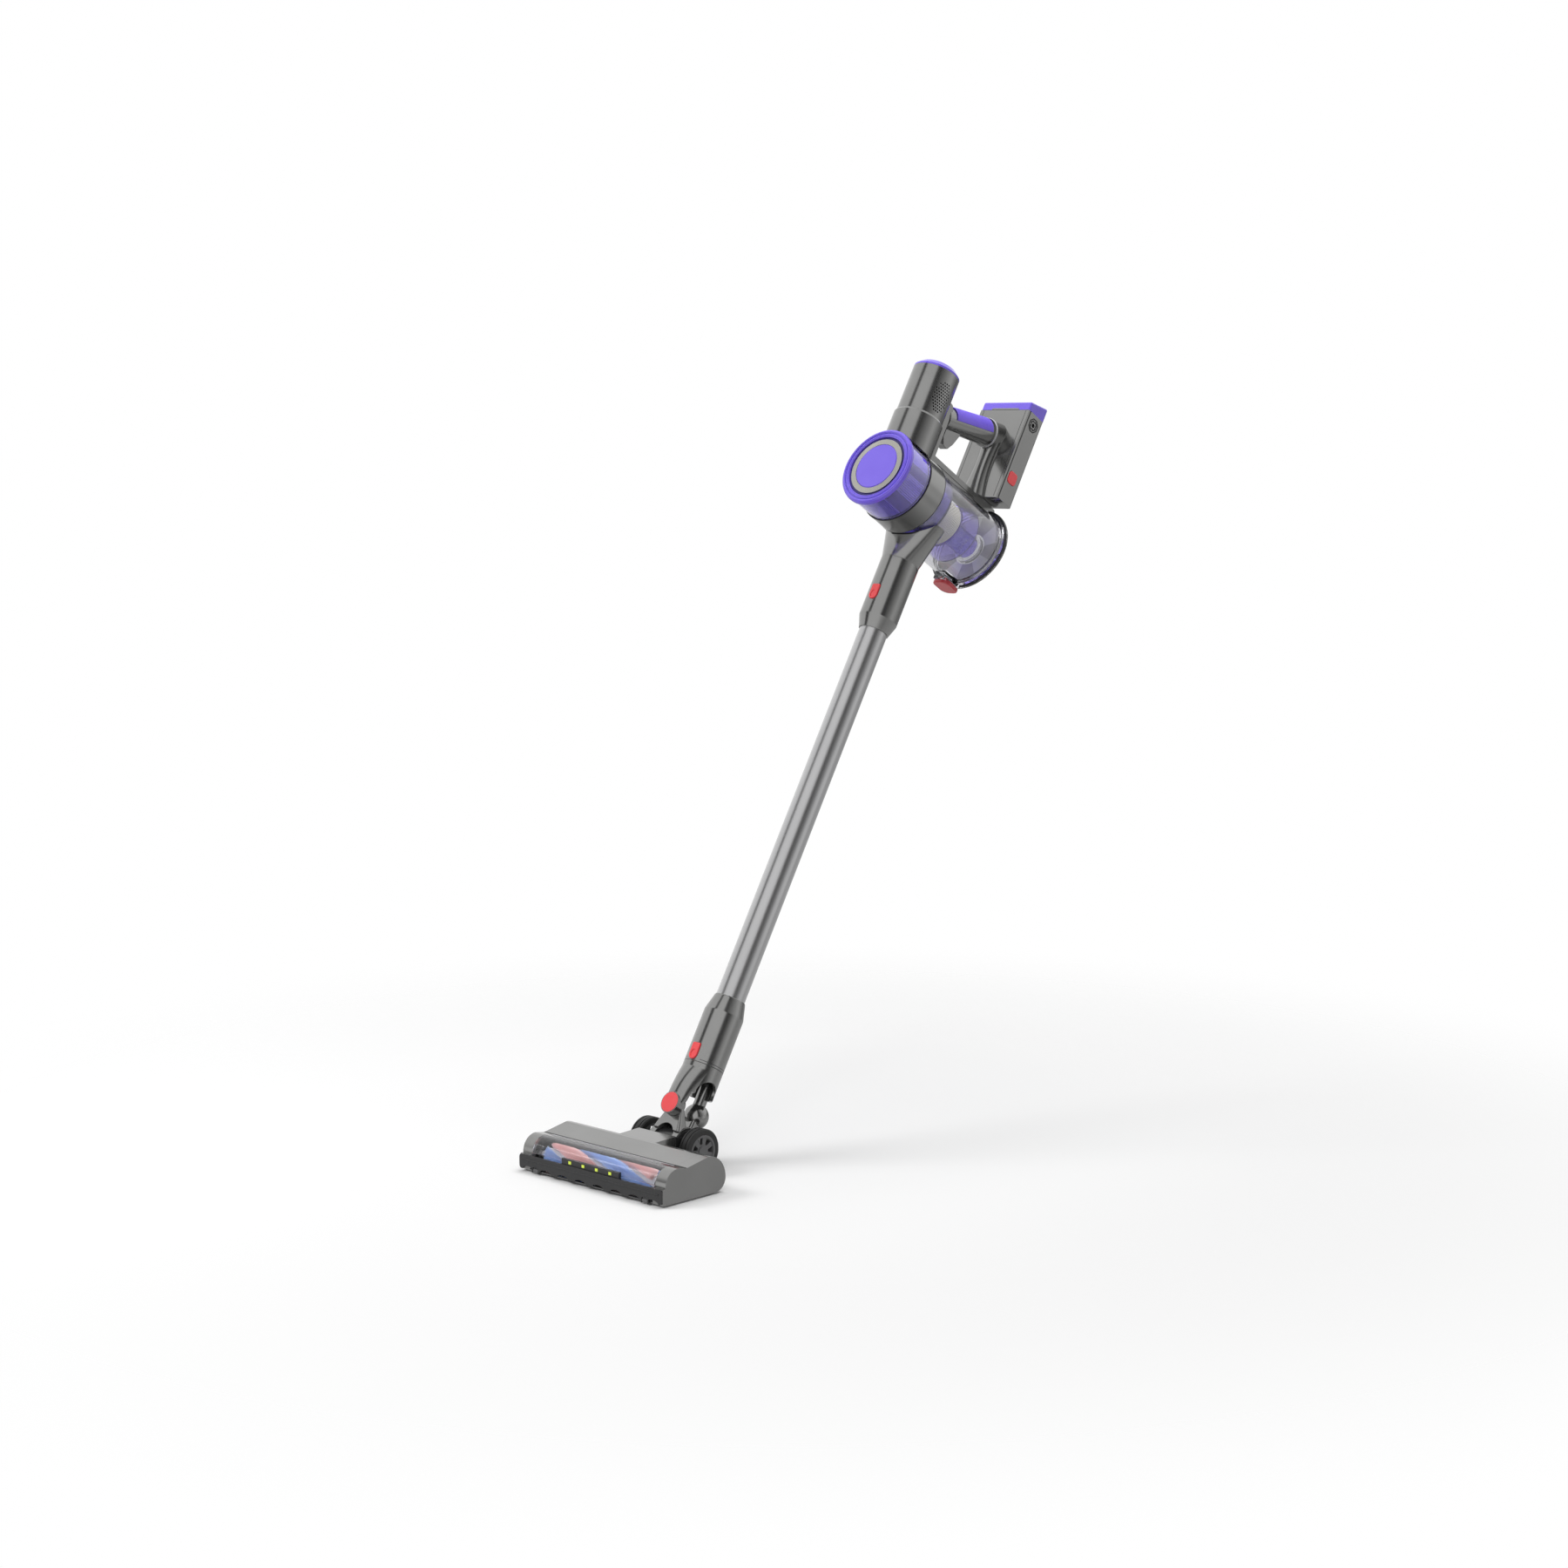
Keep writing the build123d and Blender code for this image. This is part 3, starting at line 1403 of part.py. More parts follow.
impeller_bottom = suction_motor_top + impeller_gap
with BuildPart() as suction_motor:
    with BuildSketch(motor.offset(motor_floor)):
        Circle(suction_motor_radius)
    extrude(amount=suction_motor_top - motor_floor)
    with BuildSketch(motor.offset(suction_motor_top)):
        Circle(shaft_radius)
    extrude(amount=impeller_gap + impeller_thickness)
suction_motor.part.label = "suction_motor"
export_step(suction_motor.part, "parts/suction_motor.step")

with BuildPart() as impeller:
    with BuildSketch(motor.offset(impeller_bottom)):
        Circle(impeller_radius)
    extrude(amount=impeller_plate)
    with BuildSketch(motor.offset(impeller_bottom)):
        Circle(2 * shaft_radius)
        with PolarLocations((impeller_radius + shaft_radius) / 2, impeller_blades):
            Rectangle(impeller_radius - shaft_radius - 1, impeller_blade)
    extrude(amount=impeller_thickness)
    with BuildSketch(motor.offset(impeller_bottom)):
        Circle(shaft_radius + pin_gap)
    extrude(amount=impeller_thickness, mode=Mode.SUBTRACT)
impeller.part.label = "impeller"
export_step(impeller.part, "parts/impeller.step")

with BuildPart() as exhaust_filter:
    with BuildSketch(motor.offset(exhaust_filter_bottom)):
        Circle(motor_upper_radius - motor_wall - pin_gap)
        Circle(exhaust_filter_bore, mode=Mode.SUBTRACT)
    extrude(amount=motor_top - exhaust_filter_bottom)
exhaust_filter.part.label = "exhaust_filter"
export_step(exhaust_filter.part, "parts/exhaust_filter.step")

# Handle: post behind the motor, beam over the bin, hollow grip
grip_taper = (grip_back_radius - grip_front_radius) / grip_length
frame_bottom = bin_radius - 6
slot_top = grip_start_rise + 2 * grip_wall
with BuildPart() as handle_frame:
    with BuildSketch(hand_side) as frame_profile:
        Polygon(
            (post_back - post_depth, frame_bottom),
            (bin_back, frame_bottom),
            (bin_back, beam_top),
            (post_back, beam_top),
            (post_back, post_top),
            (post_back - post_depth, post_top),
            align=None,
        )
        inner_corner = frame_profile.vertices().sort_by_distance(
            hand_side.from_local_coords((post_back, beam_top, 0))
        )[0]
        fillet(inner_corner, frame_inner_round)
    extrude(amount=beam_half_width, both=True)
    with BuildSketch(grip):
        Circle(grip_front_radius)
    with BuildSketch(grip.offset(grip_length)):
        Circle(grip_back_radius)
    loft()
    with BuildSketch(grip.offset(2 * grip_wall)):
        Circle(grip_front_radius - grip_wall + 2 * grip_wall * grip_taper)
    with BuildSketch(grip.offset(grip_length - grip_wall)):
        Circle(grip_back_radius - grip_wall - grip_wall * grip_taper)
    loft(mode=Mode.SUBTRACT)
    with Locations(motor.offset(motor_step + motor_bevel)):
        Cylinder(
            motor_lower_radius + seat_gap,
            motor_top,
            align=(Align.CENTER, Align.CENTER, Align.MAX),
            mode=Mode.SUBTRACT,
        )
        Cylinder(
            motor_upper_radius + seat_gap,
            motor_top,
            align=(Align.CENTER, Align.CENTER, Align.MIN),
            mode=Mode.SUBTRACT,
        )
    with Locations(cyclone.offset(collar_back)):
        Cylinder(
            collar_radius + seat_gap,
            2 * collar_radius,
            align=(Align.CENTER, Align.CENTER, Align.MAX),
            mode=Mode.SUBTRACT,
        )
        Cylinder(
            bin_radius + seat_gap,
            3 * bin_radius,
            align=(Align.CENTER, Align.CENTER, Align.MIN),
            mode=Mode.SUBTRACT,
        )
    with Locations(cyclone.offset(bin_back - bin_flange_length - 2 - seat_gap)):
        Cylinder(
            bin_flange_radius + seat_gap,
            2 * bin_radius,
            align=(Align.CENTER, Align.CENTER, Align.MIN),
            mode=Mode.SUBTRACT,
        )
    for sign in (-1, 1):
        with BuildSketch(hand_side.offset(sign * (knuckle_half_width + slide_gap))):
            with Locations((bin_back - 1, beam_top)):
                Rectangle(
                    hinge_across - bin_back + 1,
                    beam_top - bin_flange_radius - seat_gap,
                    align=(Align.MIN, Align.MAX),
                )
            with Locations((hinge_across, lid_hinge_rise)):
                Circle(knuckle_radius)
            make_hull()
            with Locations((hinge_across, lid_hinge_rise)):
                Circle(lid_pin_radius + pin_gap, mode=Mode.SUBTRACT)
        extrude(amount=sign * (beam_half_width - knuckle_half_width - slide_gap))
    with BuildSketch(hand_side):
        with Locations((trigger_pivot[0] - trigger_slot_lead, 0)):
            Rectangle(trigger_slot_length, slot_top, align=Align.MIN)
        with Locations((trigger_pivot[0] - trigger_slot_lead, 0)):
            Rectangle(
                trigger_slot_length, beam_top + frame_inner_round, align=Align.MIN, mode=Mode.SUBTRACT
            )
    extrude(amount=trigger_half_width + slide_gap, both=True, mode=Mode.SUBTRACT)
    with BuildSketch(hand_side):
        with Locations(trigger_pivot):
            Circle(trigger_pin_radius + pin_gap)
    extrude(amount=trigger_half_width + trigger_pin_reach + slide_gap, both=True, mode=Mode.SUBTRACT)
handle_frame.part.label = "handle_frame"
export_step(handle_frame.part, "parts/handle_frame.step")

with BuildPart() as grip_pad:
    with BuildSketch(grip.offset(pad_start)):
        Circle(grip_front_radius + pad_start * grip_taper + pad_thickness)
    with BuildSketch(grip.offset(pad_end)):
        Circle(grip_front_radius + pad_end * grip_taper + pad_thickness)
    loft()
    with BuildSketch(grip):
        Circle(grip_front_radius + pin_gap)
    with BuildSketch(grip.offset(grip_length)):
        Circle(grip_back_radius + pin_gap)
    loft(mode=Mode.SUBTRACT)
    with BuildSketch(grip):
        with Locations((0, pad_drop)):
            Rectangle(4 * grip_back_radius, 4 * grip_back_radius, align=(Align.CENTER, Align.MIN))
    extrude(amount=grip_length, mode=Mode.SUBTRACT)
grip_pad.part.label = "grip_pad"
export_step(grip_pad.part, "parts/grip_pad.step")

with BuildPart() as trigger:
    with BuildSketch(hand_side) as trigger_profile:
        pivot_across, pivot_rise = trigger_pivot
        tip_across, tip_rise = trigger_tip
        Polygon(
            (pivot_across - trigger_front, pivot_rise + trigger_shoulder),
            (pivot_across - trigger_front, pivot_rise - trigger_heel_drop),
            (tip_across - trigger_toe, tip_rise + trigger_toe_rise),
            trigger_tip,
            (tip_across + trigger_knee_reach, tip_rise + trigger_knee_rise),
            (pivot_across + trigger_back, pivot_rise + edge_break),
            (pivot_across + trigger_back, pivot_rise + trigger_head_rise),
            align=None,
        )
        fillet(trigger_profile.vertices().sort_by(Axis(hand.origin, wand_dir))[:4], trigger_round)
    extrude(amount=trigger_half_width, both=True)
    fillet(trigger.faces().sort_by(Axis.X)[-1].edges(), edge_break)
    fillet(trigger.faces().sort_by(Axis.X)[0].edges(), edge_break)
    with BuildSketch(hand_side):
        with Locations(trigger_pivot):
            Circle(trigger_pin_radius)
    extrude(amount=trigger_half_width + trigger_pin_reach, both=True)
trigger.part.label = "trigger"
export_step(trigger.part, "parts/trigger.step")

switch_bore = grip_front_radius + switch_station * grip_taper - grip_wall
with BuildPart() as trigger_switch:
    with BuildSketch(grip.offset(switch_station - switch_length / 2)):
        with Locations((0, -sqrt(switch_bore**2 - switch_half_width**2) + 2 * seat_gap)):
            Rectangle(
                2 * switch_half_width, switch_height, align=(Align.CENTER, Align.MIN)
            )
    extrude(amount=switch_length)
trigger_switch.part.label = "trigger_switch"
export_step(trigger_switch.part, "parts/trigger_switch.step")

# Battery dock: back plate, waisted trunk, ring at the grip and the contact blades
battery_front = dock_front + dock_plate + slide_gap
dock_top = battery_top - slide_gap
blade_across = (battery_front + battery_back) / 2
trunk_sections = (
    (dock_bottom, trunk_foot_half_width, trunk_depth),
    (trunk_waist_rise, trunk_waist_half_width, trunk_waist_depth),
    (trunk_head_rise, trunk_head_half_width, trunk_depth),
)
with BuildPart() as battery_dock:
    for rise, half_width, depth in trunk_sections:
        with BuildSketch(hand.offset(rise)):
            with Locations((0, dock_front + dock_plate / 2)):
                Ellipse(half_width, depth + dock_plate / 2)
    loft()
    with BuildSketch(hand.offset(dock_bottom)):
        with Locations((0, dock_front)):
            Rectangle(2 * battery_half_width, dock_plate, align=(Align.CENTER, Align.MIN))
    extrude(amount=dock_top - dock_bottom)
    with Locations(grip.offset(grip_length + seat_gap)):
        Cylinder(
            grip_ring_radius,
            grip_ring_length,
            align=(Align.CENTER, Align.CENTER, Align.MIN),
        )
        Cylinder(
            grip_back_radius,
            dock_front,
            align=(Align.CENTER, Align.CENTER, Align.MIN),
        )
    with Locations(cyclone.offset(dock_front + dock_plate)):
        Box(
            4 * battery_half_width,
            4 * battery_top,
            battery_back,
            align=(Align.CENTER, Align.CENTER, Align.MIN),
            mode=Mode.SUBTRACT,
        )
    with BuildSketch(hand.offset(dock_bottom)):
        with Locations((0, dock_front + dock_plate)):
            Rectangle(
                2 * beam_half_width, battery_back - battery_front - 6, align=(Align.CENTER, Align.MIN)
            )
    extrude(amount=battery_bottom - dock_bottom - slide_gap)
    with BuildSketch(hand.offset(dock_bottom)):
        with Locations((-blade_spread, blade_across), (blade_spread, blade_across)):
            Rectangle(blade_thickness, blade_width)
    extrude(amount=blade_top - dock_bottom)
battery_dock.part.label = "battery_dock"
export_step(battery_dock.part, "parts/battery_dock.step")

# Battery: case, slanted cap, cells, side buttons and the charging jack
button_inner = battery_half_width + side_button_proud - side_button_thickness
pocket_bottom = button_inner - side_button_travel - slide_gap
case_inside = battery_half_width - battery_wall
case_depth = battery_back - battery_front
with BuildPart() as battery_case:
    with BuildSketch(hand.offset(battery_bottom)):
        with Locations((0, battery_front + case_depth / 2)):
            RectangleRounded(2 * battery_half_width, case_depth, battery_round)
    extrude(amount=battery_top - battery_bottom)
    with BuildSketch(hand.offset(battery_bottom + battery_wall)):
        with Locations((0, battery_front + case_depth / 2)):
            Rectangle(2 * case_inside, case_depth - 2 * battery_wall)
    extrude(amount=battery_top, mode=Mode.SUBTRACT)
    for sign in (-1, 1):
        with BuildSketch(hand_side.offset(sign * case_inside)):
            with Locations(side_button_place):
                Rectangle(side_button_size + 5, side_button_size + 5)
        extrude(amount=sign * (pocket_bottom - 1.3 - case_inside))
        with BuildSketch(hand_side.offset(sign * pocket_bottom)):
            with Locations(side_button_place):
                RectangleRounded(
                    side_button_size + 2 * slide_gap,
                    side_button_size + 2 * slide_gap,
                    side_button_round + slide_gap,
                )
        extrude(amount=sign * battery_half_width, mode=Mode.SUBTRACT)
    with BuildSketch(hand_side.offset(case_inside)):
        with Locations(jack_place):
            Circle(jack_radius + jack_wall)
    extrude(amount=-jack_depth)
    with BuildSketch(hand_side.offset(case_inside - jack_depth)):
        with Locations(jack_place):
            Circle(jack_radius + pin_gap)
    extrude(amount=battery_half_width, mode=Mode.SUBTRACT)
    with BuildSketch(hand.offset(battery_bottom)):
        with Locations((-blade_spread, blade_across), (blade_spread, blade_across)):
            Rectangle(blade_thickness + 2 * blade_slot_gap, blade_width + 2 * blade_slot_gap)
    extrude(amount=battery_wall, mode=Mode.SUBTRACT)
battery_case.part.label = "battery_case"
export_step(battery_case.part, "parts/battery_case.step")

with BuildPart() as battery_cap:
    with BuildSketch(hand_side):
        Polygon(
            (dock_front, battery_top),
            (battery_back, battery_top),
            (battery_back, battery_cap_back_top),
            (dock_front, battery_cap_front_top),
            align=None,
        )
    extrude(amount=battery_half_width, both=True)
    cap_edges = [
        edge for edge in battery_cap.edges() if hand.to_local_coords(edge.center()).Z > battery_top + 1
    ]
    fillet(cap_edges, battery_round - 0.5)
battery_cap.part.label = "battery_cap"
export_step(battery_cap.part, "parts/battery_cap.step")

cell_first = blade_top + cell_radius + cell_gap
cell_stack = cell_pitch * (cells - 1)
with BuildPart() as battery_cells:
    with BuildSketch(hand_side):
        for cell in range(cells):
            with Locations((blade_across, cell_first + cell * cell_pitch)):
                Circle(cell_radius)
    extrude(amount=cell_length / 2, both=True)
    for sign in (-1, 1):
        with BuildSketch(hand_side.offset(sign * cell_length / 2)):
            with Locations((blade_across, battery_bottom + battery_wall)):
                Rectangle(
                    case_depth - 2 * battery_wall - 2 * seat_gap,
                    cell_first + cell_stack + cell_radius / 2 - battery_bottom - battery_wall,
                    align=(Align.CENTER, Align.MIN),
                )
        extrude(amount=sign * cell_plate)
battery_cells.part.label = "battery_cells"
export_step(battery_cells.part, "parts/battery_cells.step")

for side, sign in sides:
    with BuildPart() as battery_button:
        with BuildSketch(hand_side.offset(sign * button_inner)):
            with Locations(side_button_place):
                RectangleRounded(side_button_size, side_button_size, side_button_round)
        extrude(amount=sign * side_button_thickness)
        fillet(battery_button.faces().sort_by(Axis.X)[-1 if sign > 0 else 0].edges(), edge_break)
    battery_button.part.label = f"battery_button_{side}"
    export_step(battery_button.part, f"parts/battery_button_{side}.step")

with BuildPart() as charge_jack:
    with BuildSketch(hand_side.offset(battery_half_width)):
        with Locations(jack_place):
            Circle(jack_radius)
    extrude(amount=-jack_depth - battery_wall)
    with BuildSketch(hand_side.offset(battery_half_width)):
        with Locations(jack_place):
            Circle(jack_bore)
    extrude(amount=-jack_depth, mode=Mode.SUBTRACT)
charge_jack.part.label = "charge_jack"
export_step(charge_jack.part, "parts/charge_jack.step")
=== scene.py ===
import json
import math
import random

import bmesh
import bpy
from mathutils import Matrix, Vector


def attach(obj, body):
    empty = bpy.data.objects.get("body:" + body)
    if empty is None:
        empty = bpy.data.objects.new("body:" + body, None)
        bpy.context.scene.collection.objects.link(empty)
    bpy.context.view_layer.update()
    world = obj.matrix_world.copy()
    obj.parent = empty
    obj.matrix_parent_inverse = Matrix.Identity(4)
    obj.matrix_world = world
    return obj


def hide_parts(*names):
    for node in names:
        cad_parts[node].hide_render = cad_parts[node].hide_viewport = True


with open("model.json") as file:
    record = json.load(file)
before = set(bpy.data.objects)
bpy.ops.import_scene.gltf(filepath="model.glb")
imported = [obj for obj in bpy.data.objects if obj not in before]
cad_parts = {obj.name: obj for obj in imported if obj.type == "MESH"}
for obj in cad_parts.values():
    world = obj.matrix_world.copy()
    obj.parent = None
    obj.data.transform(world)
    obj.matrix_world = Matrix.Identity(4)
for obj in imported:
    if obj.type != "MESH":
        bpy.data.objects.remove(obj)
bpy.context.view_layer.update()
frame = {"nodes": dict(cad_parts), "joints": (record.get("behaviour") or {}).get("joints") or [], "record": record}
nodes = frame["nodes"]
scene = bpy.context.scene
print("cad nodes loaded:", len(nodes))

# Frames of the machine, taken from its joints: X across the head, acrossDir along the dust bin and
# alongDir up the wand. Sizes are in millimetres and become metres where a point is made.
joints = {joint["name"]: joint for joint in frame["joints"]}
axleCentre = Vector(joints["head_tilt"]["pos_m"])
brushCentre = Vector(joints["brush_spin"]["pos_m"])
acrossDir = Vector(joints["neck_roll"]["axis"]).normalized()
alongDir = -Vector(joints["wand_pull"]["axis"]).normalized()
sideDir = Vector((1, 0, 0))
mm = 0.001
cycloneStation = 839.5  # the bin's axis, up the wand from the head's axle
handCentre = axleCentre + alongDir * cycloneStation * mm


def headPoint(x, y, z):
    return Vector((x * mm, axleCentre.y + y * mm, z * mm))


def wandPoint(x, across, along):
    return axleCentre + sideDir * x * mm + acrossDir * across * mm + alongDir * along * mm


def tubePoint(radius, turn, along):
    return wandPoint(radius * math.cos(turn), radius * math.sin(turn), along)


def handPoint(x, across, along):
    return handCentre + sideDir * x * mm + acrossDir * across * mm + alongDir * along * mm


def binPoint(radius, turn, across):
    return handPoint(radius * math.cos(turn), across, radius * math.sin(turn))


# Materials


def linear(hexColour):
    channels = [int(hexColour[i:i + 2], 16) / 255 for i in (1, 3, 5)]
    return [c / 12.92 if c <= 0.04045 else ((c + 0.055) / 1.055) ** 2.4 for c in channels] + [1.0]


def addNode(tree, kind, settings, sockets):
    node = tree.nodes.new(kind)
    for key, value in settings.items():
        setattr(node, key, value)
    for key, value in sockets.items():
        if isinstance(value, bpy.types.NodeSocket):
            tree.links.new(value, node.inputs[key])
        else:
            node.inputs[key].default_value = value
    return node


def blankMaterial(name):
    material = bpy.data.materials.new(name)
    material.use_nodes = True
    material.node_tree.nodes.clear()
    return material


# What all finishes share: the make of the two noises and the middle part of them that is used, the grain's
# height as a share of its width, and the cosines at which an edge starts to take its paler edge colour and
# takes it fully: rubbed wear on most parts, a painted highlight on the plated ring
surfaceDetail = {"cloudDetail": 3.0, "cloudBlend": 0.55, "grainDetail": 2.0, "grainBlend": 0.6,
                 "noiseLow": 0.3, "noiseHigh": 0.7, "grainHeight": 0.3, "edgeSamples": 4,
                 "wearAndHighlightStart": 0.97, "wearAndHighlightFull": 0.72}


def surfaceFinish(name, finish):
    # cloudy colour, uneven gloss, a moulded or drawn grain, and paler edges: rubbed wear, and on the plated ring a
    # painted highlight
    detail = surfaceDetail
    material = blankMaterial(name)
    tree = material.node_tree
    place = addNode(tree, "ShaderNodeTexCoord", {}, {}).outputs["Object"]
    stretch = finish.get("stretch", (1, 1, 1))
    grainPlace = addNode(tree, "ShaderNodeMapping", {}, {
        "Vector": place, "Scale": stretch}).outputs["Vector"]
    cloud = addNode(tree, "ShaderNodeTexNoise", {}, {
        "Vector": place, "Scale": 1 / (finish["cloudMm"] * mm),
        "Detail": detail["cloudDetail"], "Roughness": detail["cloudBlend"]})
    grain = addNode(tree, "ShaderNodeTexNoise", {}, {
        "Vector": grainPlace, "Scale": 1 / (finish["grainMm"] * mm),
        "Detail": detail["grainDetail"], "Roughness": detail["grainBlend"]})
    tint = addNode(tree, "ShaderNodeValToRGB", {}, {"Fac": cloud.outputs["Fac"]})
    deepEnd, paleEnd = tint.color_ramp.elements
    deepEnd.position = detail["noiseLow"]
    paleEnd.position = detail["noiseHigh"]
    deepEnd.color = linear(finish["deep"])
    paleEnd.color = linear(finish["colour"])
    gloss = addNode(tree, "ShaderNodeMapRange", {}, {
        "Value": grain.outputs["Fac"], "From Min": detail["noiseLow"], "From Max": detail["noiseHigh"],
        "To Min": finish["roughness"][0], "To Max": finish["roughness"][1]})
    bump = addNode(tree, "ShaderNodeBump", {}, {
        "Height": grain.outputs["Fac"], "Strength": finish["grainDepth"],
        "Distance": finish["grainMm"] * mm * detail["grainHeight"]})
    colour = tint.outputs["Color"]
    if finish.get("edgeMm"):
        softEdge = addNode(tree, "ShaderNodeBevel", {"samples": detail["edgeSamples"]}, {
            "Radius": finish["edgeMm"] * mm})
        flat = addNode(tree, "ShaderNodeNewGeometry", {}, {})
        facing = addNode(tree, "ShaderNodeVectorMath", {"operation": "DOT_PRODUCT"}, {
            0: softEdge.outputs["Normal"], 1: flat.outputs["Normal"]})
        # paler edges: wear on most finishes, a painted highlight on the plated ring
        wearAndHighlight = addNode(tree, "ShaderNodeMapRange", {}, {
            "Value": facing.outputs["Value"], "From Min": detail["wearAndHighlightStart"], "From Max": detail["wearAndHighlightFull"],
            "To Min": 0.0, "To Max": finish["edgeWearAndHighlightShare"]})
        colour = addNode(tree, "ShaderNodeMix", {"data_type": "RGBA"}, {
            "Factor": wearAndHighlight.outputs["Result"], 6: colour, 7: linear(finish["edgeWearAndHighlight"])}).outputs[2]
        tree.links.new(softEdge.outputs["Normal"], bump.inputs["Normal"])
    shader = addNode(tree, "ShaderNodeBsdfPrincipled", {}, {
        "Base Color": colour, "Roughness": gloss.outputs["Result"], "Normal": bump.outputs["Normal"],
        **finish["shader"]})
    surface = shader.outputs["BSDF"]
    if finish.get("shadowTint"):
        # lamps shine through the clear wall, so what is inside stays lit
        path = addNode(tree, "ShaderNodeLightPath", {}, {})
        pane = addNode(tree, "ShaderNodeBsdfTransparent", {}, {"Color": linear(finish["shadowTint"])})
        surface = addNode(tree, "ShaderNodeMixShader", {}, {
            0: path.outputs["Is Shadow Ray"], 1: surface, 2: pane.outputs["BSDF"]}).outputs["Shader"]
    addNode(tree, "ShaderNodeOutputMaterial", {}, {"Surface": surface})
    return material


# ABS moulded in a fine tool, with metal flake in the pigment: satin gunmetal that draws the lamps out into
# long bands. The grain is drawn at 0.7 mm, as the real 0.1 mm doesn't show.
flakeGrey = {"colour": "#959594", "deep": "#8f8f8e", "edgeWearAndHighlight": "#b9b9b8", "edgeWearAndHighlightShare": 0.4, "edgeMm": 0.5,
             "cloudMm": 60, "grainMm": 0.7, "grainDepth": 0.02, "roughness": (0.15, 0.2),
             "shader": {"Metallic": 0.9, "IOR": 1.53}}
# ABS moulded in a polished tool: deep purple with a clear mirror gloss
polishedPurple = {"colour": "#7a62e8", "deep": "#735ae2", "edgeWearAndHighlight": "#a594f6", "edgeWearAndHighlightShare": 0.55, "edgeMm": 0.5,
                  "cloudMm": 50, "grainMm": 2.5, "grainDepth": 0.02, "roughness": (0.14, 0.2),
                  "shader": {"IOR": 1.53, "Coat Weight": 0.35, "Coat Roughness": 0.06}}
# The same ABS without the brightener: the dark cage that shows through the filter ring, and painted shade in the
# groove round the cap's silver ring
deepPurpleAndGrooveShade = {"colour": "#2e2272", "deep": "#281c68", "edgeWearAndHighlight": "#54449f", "edgeWearAndHighlightShare": 0.3, "edgeMm": 0.4,
              "cloudMm": 40, "grainMm": 2.0, "grainDepth": 0.03, "roughness": (0.25, 0.32),
              "shader": {"IOR": 1.53}}
# Soft grip rubber moulded over the handle: the same purple, with less gloss
overmouldPurple = {"colour": "#7f66ee", "deep": "#775de6", "edgeWearAndHighlight": "#a08ef8", "edgeWearAndHighlightShare": 0.4, "edgeMm": 0.4,
                   "cloudMm": 30, "grainMm": 0.6, "grainDepth": 0.1, "roughness": (0.34, 0.46),
                   "shader": {"IOR": 1.5}}
# Polycarbonate dyed purple and moulded clear: dark where it mirrors nothing, pale lilac under the lamps
dyedClear = {"colour": "#b0a2f4", "deep": "#a494f0", "cloudMm": 40, "grainMm": 3.0, "grainDepth": 0.01,
             "roughness": (0.03, 0.06), "shadowTint": "#c9beff",
             "shader": {"IOR": 1.45, "Transmission Weight": 0.95, "Coat Weight": 1.0, "Coat IOR": 1.9,
                        "Coat Roughness": 0.03}}
# Polycarbonate moulded clear and polished: bright edges and long window lights
polishedClear = {"colour": "#e4e4e7", "deep": "#dcdce0", "cloudMm": 60, "grainMm": 4.0, "grainDepth": 0.008,
                 "roughness": (0.02, 0.04), "shadowTint": "#f0f0f2",
                 "shader": {"IOR": 1.45, "Transmission Weight": 1.0}}
# The same polycarbonate with a grey dye: a smoky pane with clean edges
smokedClear = {**polishedClear, "colour": "#c6c6ca", "deep": "#bebec2", "roughness": (0.03, 0.05),
               "shadowTint": "#d6d6da"}
# Polycarbonate moulded in a blasted tool: a frosted grey that takes light and shade on each facet
frostedClear = {"colour": "#c9c9c0", "deep": "#c2c2b8", "cloudMm": 30, "grainMm": 0.8, "grainDepth": 0.04,
                "roughness": (0.32, 0.4), "shadowTint": "#c8c8cc", "shader": {"IOR": 1.5}}
# The same blasted finish, darker: painted shade, so every other facet of the lid's fan reads as shaded
frostedPaintedShade = {**frostedClear, "colour": "#a2a299", "deep": "#9b9b92"}
# Black-grey nylon moulded in a smooth tool: dark, with a broad dull shine
darkNylon = {"colour": "#343435", "deep": "#2e2e2f", "edgeWearAndHighlight": "#5c5c5d", "edgeWearAndHighlightShare": 0.45, "edgeMm": 0.4,
             "cloudMm": 40, "grainMm": 0.7, "grainDepth": 0.04, "roughness": (0.2, 0.28),
             "shader": {"IOR": 1.53}}
# Nylon with more grey in it, moulded the same way: rims and rollers that stand off the black tyres
greyNylon = {**darkNylon, "colour": "#636364", "deep": "#5a5a5b", "edgeWearAndHighlight": "#868687", "cloudMm": 30,
             "roughness": (0.26, 0.34)}
# ABS moulded in a polished tool: signal red buttons with a lacquer-like gloss
polishedRed = {"colour": "#fb474d", "deep": "#f54047", "edgeWearAndHighlight": "#ff7478", "edgeWearAndHighlightShare": 0.5, "edgeMm": 0.5,
               "cloudMm": 20, "grainMm": 1.5, "grainDepth": 0.03, "roughness": (0.16, 0.24),
               "shader": {"IOR": 1.53, "Coat Weight": 0.3, "Coat Roughness": 0.08}}
# The same red ABS, darker: painted shade on the lid's catch, which sits in shade
paintedShadeRed = {**polishedRed, "colour": "#b83c42", "deep": "#b0363c", "edgeWearAndHighlight": "#e06468",
           "roughness": (0.18, 0.26), "shader": {"IOR": 1.53}}
